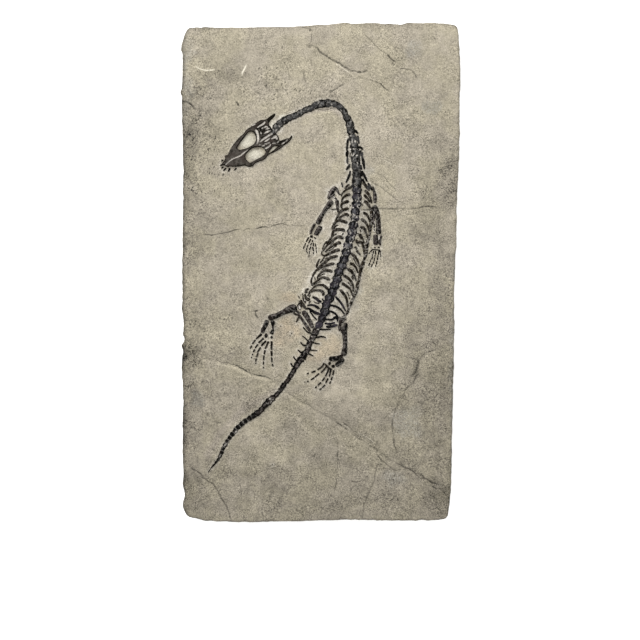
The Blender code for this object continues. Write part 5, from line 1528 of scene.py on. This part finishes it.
def quads(number):
    """The faces of a grid of point numbers, facing up."""
    corners = [number[:-1, :-1], number[:-1, 1:], number[1:, 1:], number[1:, :-1]]
    return np.stack(corners, axis=2).reshape(-1, 4)


foot_ring = wall[-1, :, :2]
half, quarter, last = (
    foot_ring[::step] * (1 - inset) for step, inset in zip((2, 4, 8), UNDER_INSETS)
)
w, n = WIDE // 8, LONG // 8
corners = (0, w, w + n, 2 * w + n, 2 * (w + n))
last = np.vstack([last, last[:1]])
foot, right, head, left = (last[a : b + 1] for a, b in zip(corners[:-1], corners[1:]))
under = fill_sides(left, foot, right, head)
slab_points = np.vstack([
    np.stack([x, y, z], axis=1), wall.reshape(-1, 3), flat(half), flat(quarter), flat(under)
])

# %% Faces of the slab
count, first = len(edge), rows * columns
faces = [quads(np.arange(first).reshape(rows, columns))]
rings = [edge] + [first + k * count + np.arange(count) for k in range(SIDE_RINGS)]
for a, b in zip(rings[:-1], rings[1:]):
    faces.append(np.stack([a, b, np.roll(b, -1), np.roll(a, -1)], axis=1))
first += SIDE_RINGS * count
rings = [rings[-1], first + np.arange(count // 2), first + count // 2 + np.arange(count // 4)]
first += count // 2 + count // 4
rings.append(first + edge_numbers(n + 1, w + 1))
for a, b in zip(rings[:-1], rings[1:]):
    start, middle, end, after = a[::2], a[1::2], np.roll(a, -2)[::2], np.roll(b, -1)
    faces.append(np.stack([middle, start, b], axis=1))
    faces.append(np.stack([end, middle, b, after], axis=1))
FACING_DOWN = [0, 3, 2, 1]  # the corners of a face the other way round
faces.append(quads(first + np.arange((n + 1) * (w + 1)).reshape(n + 1, w + 1))[:, FACING_DOWN])
print(len(slab_points), "points,", sum(len(array) for array in faces), "faces")

# %% [markdown]
# ## Limestone paint
#
# The stone is a warm grey, painted darker towards the foot of the slab. Close up it is a mass of
# grains a third of a millimetre across with darker and paler blotches over them. It is paler
# where the needle cleaned it beside the bones, tan between the hips, blue-grey in a few patches,
# smoother in a few more, dark in its cracks and darker along its rim, most on the left. The
# ledge has a painted highlight on its lip and painted shade along its foot, and a few soft
# patches paint the middle brighter than the sides, as light would fall. Its sides show thin beds.

# %% Soft patches: the middle of each and its reach both ways, in squares
PATCHES = {  # with the softness of each kind
    "stain": (0.4, (
        (288, 331, 13, 18), (328, 350, 13, 12), (312, 356, 16, 9), (278, 338, 9, 11),
        (288, 297, 12, 6),
    )),
    "clean": (0.3, ((330, 125, 26, 20), (306, 345, 30, 30))),
    "scraped": (0.2, (
        (349, 160, 5, 30), (336, 225, 16, 46), (324, 288, 22, 30), (322, 318, 26, 16),
        (356, 165, 8, 28), (276, 128, 9, 12),
    )),
    "eyes": (0.05, (
        (247, 141, 10, 9), (255, 155, 10, 7), (273, 127, 3.5, 8), (283, 117, 5, 3),
        (274, 149, 5, 3),
    )),
    "blue_grey": (0.6, (
        (413, 52, 12, 11), (432, 108, 11, 6), (406, 424, 14, 14), (394, 478, 10, 8),
        (196, 401, 8, 8), (186, 70, 8, 40), (358, 215, 14, 60), (340, 285, 20, 28),
        (455, 380, 5, 100),
    )),
    "freckled": (0.5, ((276, 88, 40, 20), (207, 165, 30, 32))),
    "smooth": (0.5, (
        (430, 66, 34, 44), (236, 250, 52, 66), (300, 168, 44, 36), (236, 60, 30, 24),
    )),
    "sparkling": (0.5, (
        (412, 428, 14, 16), (250, 452, 16, 10), (340, 440, 20, 14), (290, 60, 24, 20),
    )),
}
# Most of these are the stone's own lighter and darker areas. Some are painted light: the broad
# paler one over the middle and darker ones along the left and right margins make the middle
# brighter than the sides, and two narrow dark ones along the neck and a small one in the hollow at
# the lower right are painted shadow.
SHADES = (  # middle, reach both ways, in squares, and how much paler
    (184, 150, 16, 95, -0.16), (185, 400, 12, 60, -0.16), (186, 490, 16, 26, -0.12),
    (205, 128, 20, 36, -0.07), (184, 72, 7, 26, 0.05), (228, 70, 14, 24, -0.08),
    (185, 32, 14, 8, 0.08), (318, 104, 34, 7, -0.08), (351, 135, 6, 34, -0.08),
    (250, 200, 34, 26, -0.05), (214, 226, 30, 30, -0.08), (288, 48, 8, 20, -0.09),
    (330, 31, 130, 6, 0.08), (450, 44, 14, 22, 0.12), (405, 52, 13, 13, -0.1),
    (366, 112, 26, 34, 0.08), (290, 92, 34, 14, 0.06), (300, 118, 30, 14, 0.02),
    (258, 172, 30, 9, 0.09), (440, 120, 18, 46, -0.06), (454, 178, 15, 20, -0.26),
    (432, 210, 22, 44, -0.07), (448, 300, 12, 60, -0.09), (446, 400, 20, 60, -0.12),
    (416, 352, 10, 24, -0.11), (442, 500, 20, 22, -0.18), (190, 338, 9, 44, -0.1),
    (186, 366, 8, 9, -0.14), (382, 328, 14, 18, 0.05), (322, 393, 34, 8, 0.12),
    (194, 401, 8, 8, -0.16), (183, 300, 4, 60, -0.12), (183, 440, 5, 60, -0.14),
    (300, 262, 12, 36, 0.07), (270, 286, 26, 18, 0.07), (378, 330, 20, 56, 0.08),
    (300, 352, 52, 26, 0.08), (338, 400, 34, 14, 0.08), (236, 430, 26, 10, 0.12),
    (225, 450, 44, 20, 0.05), (246, 405, 24, 7, -0.09), (228, 352, 36, 10, -0.06),
    (410, 432, 22, 18, 0.08), (392, 470, 16, 10, 0.05), (230, 490, 30, 20, 0.02),
    (363, 228, 8, 48, -0.16), (354, 280, 9, 24, -0.12), (330, 230, 8, 40, -0.06),
    (382, 208, 12, 40, 0.05), (340, 150, 9, 40, 0.03), (300, 295, 100, 185, 0.07),
    (195, 170, 23, 130, -0.09), (220, 84, 24, 24, -0.1), (440, 50, 22, 30, 0.06),
    (345, 42, 60, 20, 0.05), (433, 205, 24, 70, -0.09), (440, 330, 20, 90, -0.05),
    (197, 363, 12, 12, -0.12), (240, 440, 42, 40, 0.04), (196, 500, 14, 20, -0.07),
    (326, 226, 8, 20, 0.07), (420, 450, 20, 20, -0.05), (450, 188, 12, 20, -0.06),
    (250, 145, 20, 12, 0.06), (330, 380, 30, 14, 0.06),
    (378, 402, 14, 24, 0.08), (400, 380, 10, 14, 0.07), (325, 101, 18, 7, -0.11),
    (252, 302, 20, 9, 0.08), (366, 282, 12, 16, 0.08), (348, 322, 12, 12, 0.08),
    (336, 352, 14, 12, 0.07), (235, 402, 26, 9, 0.08), (191, 160, 10, 26, -0.08),
    (191, 262, 10, 20, -0.07), (200, 362, 16, 8, -0.1), (400, 502, 22, 9, -0.08),
    (420, 140, 14, 10, -0.07), (236, 80, 12, 9, -0.07), (280, 140, 8, 8, 0.06),
    (380, 275, 14, 30, 0.08), (238, 415, 14, 26, 0.06), (320, 145, 20, 14, 0.05),
    (310, 385, 30, 12, 0.08), (352, 312, 10, 16, 0.08), (250, 290, 20, 12, 0.06),
    (190, 360, 10, 14, -0.09), (220, 320, 14, 10, -0.07), (190, 462, 10, 8, -0.09),
    (445, 200, 12, 30, -0.06), (192, 260, 10, 12, -0.07), (416.5, 370, 4, 11, -0.24),
)
SHADE_SOFTNESS = 0.5


def patches(spots, blur):
    """1 inside soft ellipses and 0 outside them, with edges `blur` wavy."""
    total = np.zeros(len(x))
    for cx, cy, wide, tall in spots:
        (px, py), = line(f"{cx},{cy}")
        off = np.hypot((x - px) / (wide * SQUARE), (y - py) / (tall * SQUARE))
        total = np.maximum(total, ease(1.25 - off + blur * rough(x, y, 6.0, 80), 0, 0.8))
    return total


face_values = {name: patches(spots, blur) for name, (blur, spots) in PATCHES.items()}
shade = sum(paler * patches([spot], SHADE_SOFTNESS) for *spot, paler in SHADES)
print(len(face_values), "kinds of patch and", len(SHADES), "shades")

# %% Values for the paint, one for each point
beside = np.maximum(to_bone - 0.4, 0)
dust_left = bell(beside, 1.6) * face_values.pop("scraped")
halo = bell(beside, 0.5) * (0.4 + 0.35 * hills(x, y, 2.2, 81))
left_side = -x
# Darker along the rim, most on the left side.
rim_darkness = 0.7 + 0.45 * hills(x, y, 2.0, 82) + 0.5 * ease(left_side, 62, 66)
face_values.update({
    "crack": crack, "crack_dark": crack_dark, "foot_line": foot_line, "foot_shade": foot_shade,
    "lip": lip, "scratch": scratch, "scratch_pale": scratch_pale, "tint": tint,
    "halo": halo + dust_left * (0.65 + 0.5 * hills(x, y, 1.8, 81)),
    "shade": shade - 0.06 * ledge_foot_shade + tint_shade - FLAKE_SHADE * flake,
    "side": np.zeros(len(x)),
    "rim": bell(margin, 0.8 + 0.5 * ease(left_side, 60, 66)) * rim_darkness,
})
ON_THE_SIDES = {"crack": 3.0, "foot_line": 3.0, "scratch": 3.0, "side": 1.0}  # the others are 0
SIDE_RIM_DARKNESS = (0.75, 0.5, 0.25)  # on the highest rings of the sides
extra = len(slab_points) - len(x)
slab_values = {
    name: np.append(values, np.full(extra, ON_THE_SIDES.get(name, 0.0)))
    for name, values in face_values.items()
}
top_rings = slice(len(x), len(x) + len(SIDE_RIM_DARKNESS) * count)
slab_values["rim"][top_rings] = np.repeat(SIDE_RIM_DARKNESS, count)
print(len(slab_values), "values on each of", len(slab_points), "points")

# %% Limestone: how light it is, from coarse to fine
CLOUD, BROAD, PATCHY, BLOTCH, GRAIN, DUST = 19, 11, 7, 3.2, 1.15, 0.55  # sizes in mm
SPOT, FLECK, JAG, BREAK, BED = 1.1, 0.9, 1.0, 1.9, 1.6

stone = Paint("grey_limestone")
along_slab = stone.node("SeparateXYZ", {}, {"Vector": stone.place}, 1) * (1 / MM)
broad = stone.noise(BROAD, 4.0, 0.65)
blotch = stone.noise(BLOTCH, 2.0, 0.6)
grain = stone.noise(GRAIN, 2.0, 0.6)
dust = stone.noise(DUST, 2.0, 0.75)
rough_share = 0.62 + stone.noise(PATCHY, 2.0, 0.5).ease(0.35, 0.65) * 0.4
rough_share = rough_share * (0.85 + along_slab.ease(-90.0, -20.0) * 0.2)
rough_share = rough_share * (1 - stone.value("smooth") * 0.3)
tone = 0.70 + along_slab.ease(-120.0, 60.0) * 0.28 + (broad - 0.5) * 0.6
tone = tone + (blotch - 0.5) * 0.55 + ((grain - 0.5) * 1.05 + (dust - 0.5) * 3.2) * rough_share
tone = tone + stone.value("shade")
halo = stone.value("halo")
beside = (halo * (0.45 + grain.ease(0.35, 0.65) * 0.9)).clamp()
tone = tone + stone.value("clean") * 0.04 + beside * 0.3 + stone.value("eyes") * 0.5
spots = stone.noise(SPOT, 2.0, 0.7).ease(0.62, 0.72)
streaks = stone.streaks(2.4, 0.8, 1.05).ease(0.6, 0.67)
bedding = stone.node("Mapping", {}, {"Vector": stone.place, "Scale": (0.07, 0.07, 1.0)})
bedding = stone.node(
    "TexNoise", {}, {"Vector": bedding, "Scale": 1 / (BED * MM), "Detail": 3.0}
)
tone = tone + stone.value("side") * ((bedding - 0.5) * 1.3 - 0.16)
tone = tone - spots * 0.12 - streaks * stone.value("freckled") * 0.65
flecks = stone.noise(FLECK, 1.0, 0.5).ease(0.66, 0.78)
tone = tone + flecks * (0.34 + halo * 0.5 + stone.value("sparkling") * 0.45)

# %% Limestone: its colours
STRAW = from_srgb(161, 153.2, 134)


def stone_mix(share, base, *levels):
    """`base` with a share of the colour given by its screen levels."""
    return stone.mix(share, base, from_srgb(*levels))


blue_share = stone.value("blue_grey") * grain.ease(0.3, 0.6) * 0.4
base = stone_mix(stone.noise(CLOUD, 3.0, 0.6).ease(0.38, 0.62), STRAW, 159.5, 151.5, 136)
base = stone_mix(stone.value("stain") * (blotch * 1.2).clamp(), base, 166, 152, 130)
base = stone_mix(stone.value("tint") * 0.45, base, 163, 153, 144)
base = stone_mix(stone.value("eyes") * 0.6, base, 164, 162, 151)
base = stone_mix(blue_share, base, 150, 149, 143)
base = stone_mix(beside * 0.75, base, 172, 167, 157)

# %% Limestone: the drawn lines, and the end of its paint
def stroke(across, strength, inner, outer):
    """How strongly a thin line shows: its strength, out to `inner` of its half width or so."""
    return (1 - abs(across).ease(inner, outer)) * stone.value(strength)


scratched = stroke(stone.value("scratch"), "scratch_pale", 0.5, 1.6)
# Painted highlight on the ledge's lip; scratches are paler.
tone = tone + stone.value("lip") * 0.42 + scratched * 0.75
base = stone_mix(scratched * 0.6, base, 190, 186, 172)
jag = (stone.noise(JAG, 2.0, 0.6) - 0.5) * 2.4
broken = 0.68 + stone.noise(BREAK, 2.0, 0.6).ease(0.36, 0.58) * 0.42
cracked = stroke(stone.value("crack") + jag, "crack_dark", 0.4, 1.4) * broken
# Painted shade in a line along the foot of the ledge.
step_shade = stroke(stone.value("foot_line") + jag, "foot_shade", 0.3, 1.5) * broken
tone = tone * (1 - cracked * 0.88) * (1 - step_shade * 0.72) * (1 - stone.value("rim") * 0.5)
stone.set("Base Color", stone.mix(1.0, base, stone.grey(tone), "MULTIPLY"))
stone.set("Roughness", (0.86 + (grain - 0.5) * 0.2).clamp())
stone.shader.inputs["Specular IOR Level"].default_value = 0.25
stone.bump(grain * 0.7 + dust * 0.5 + blotch * 0.5, 0.22)

slab = add_piece("slab", [(slab_points, faces, slab_values)], stone.material, "stone", "slab")
print("slab", triangles(slab), "triangles")
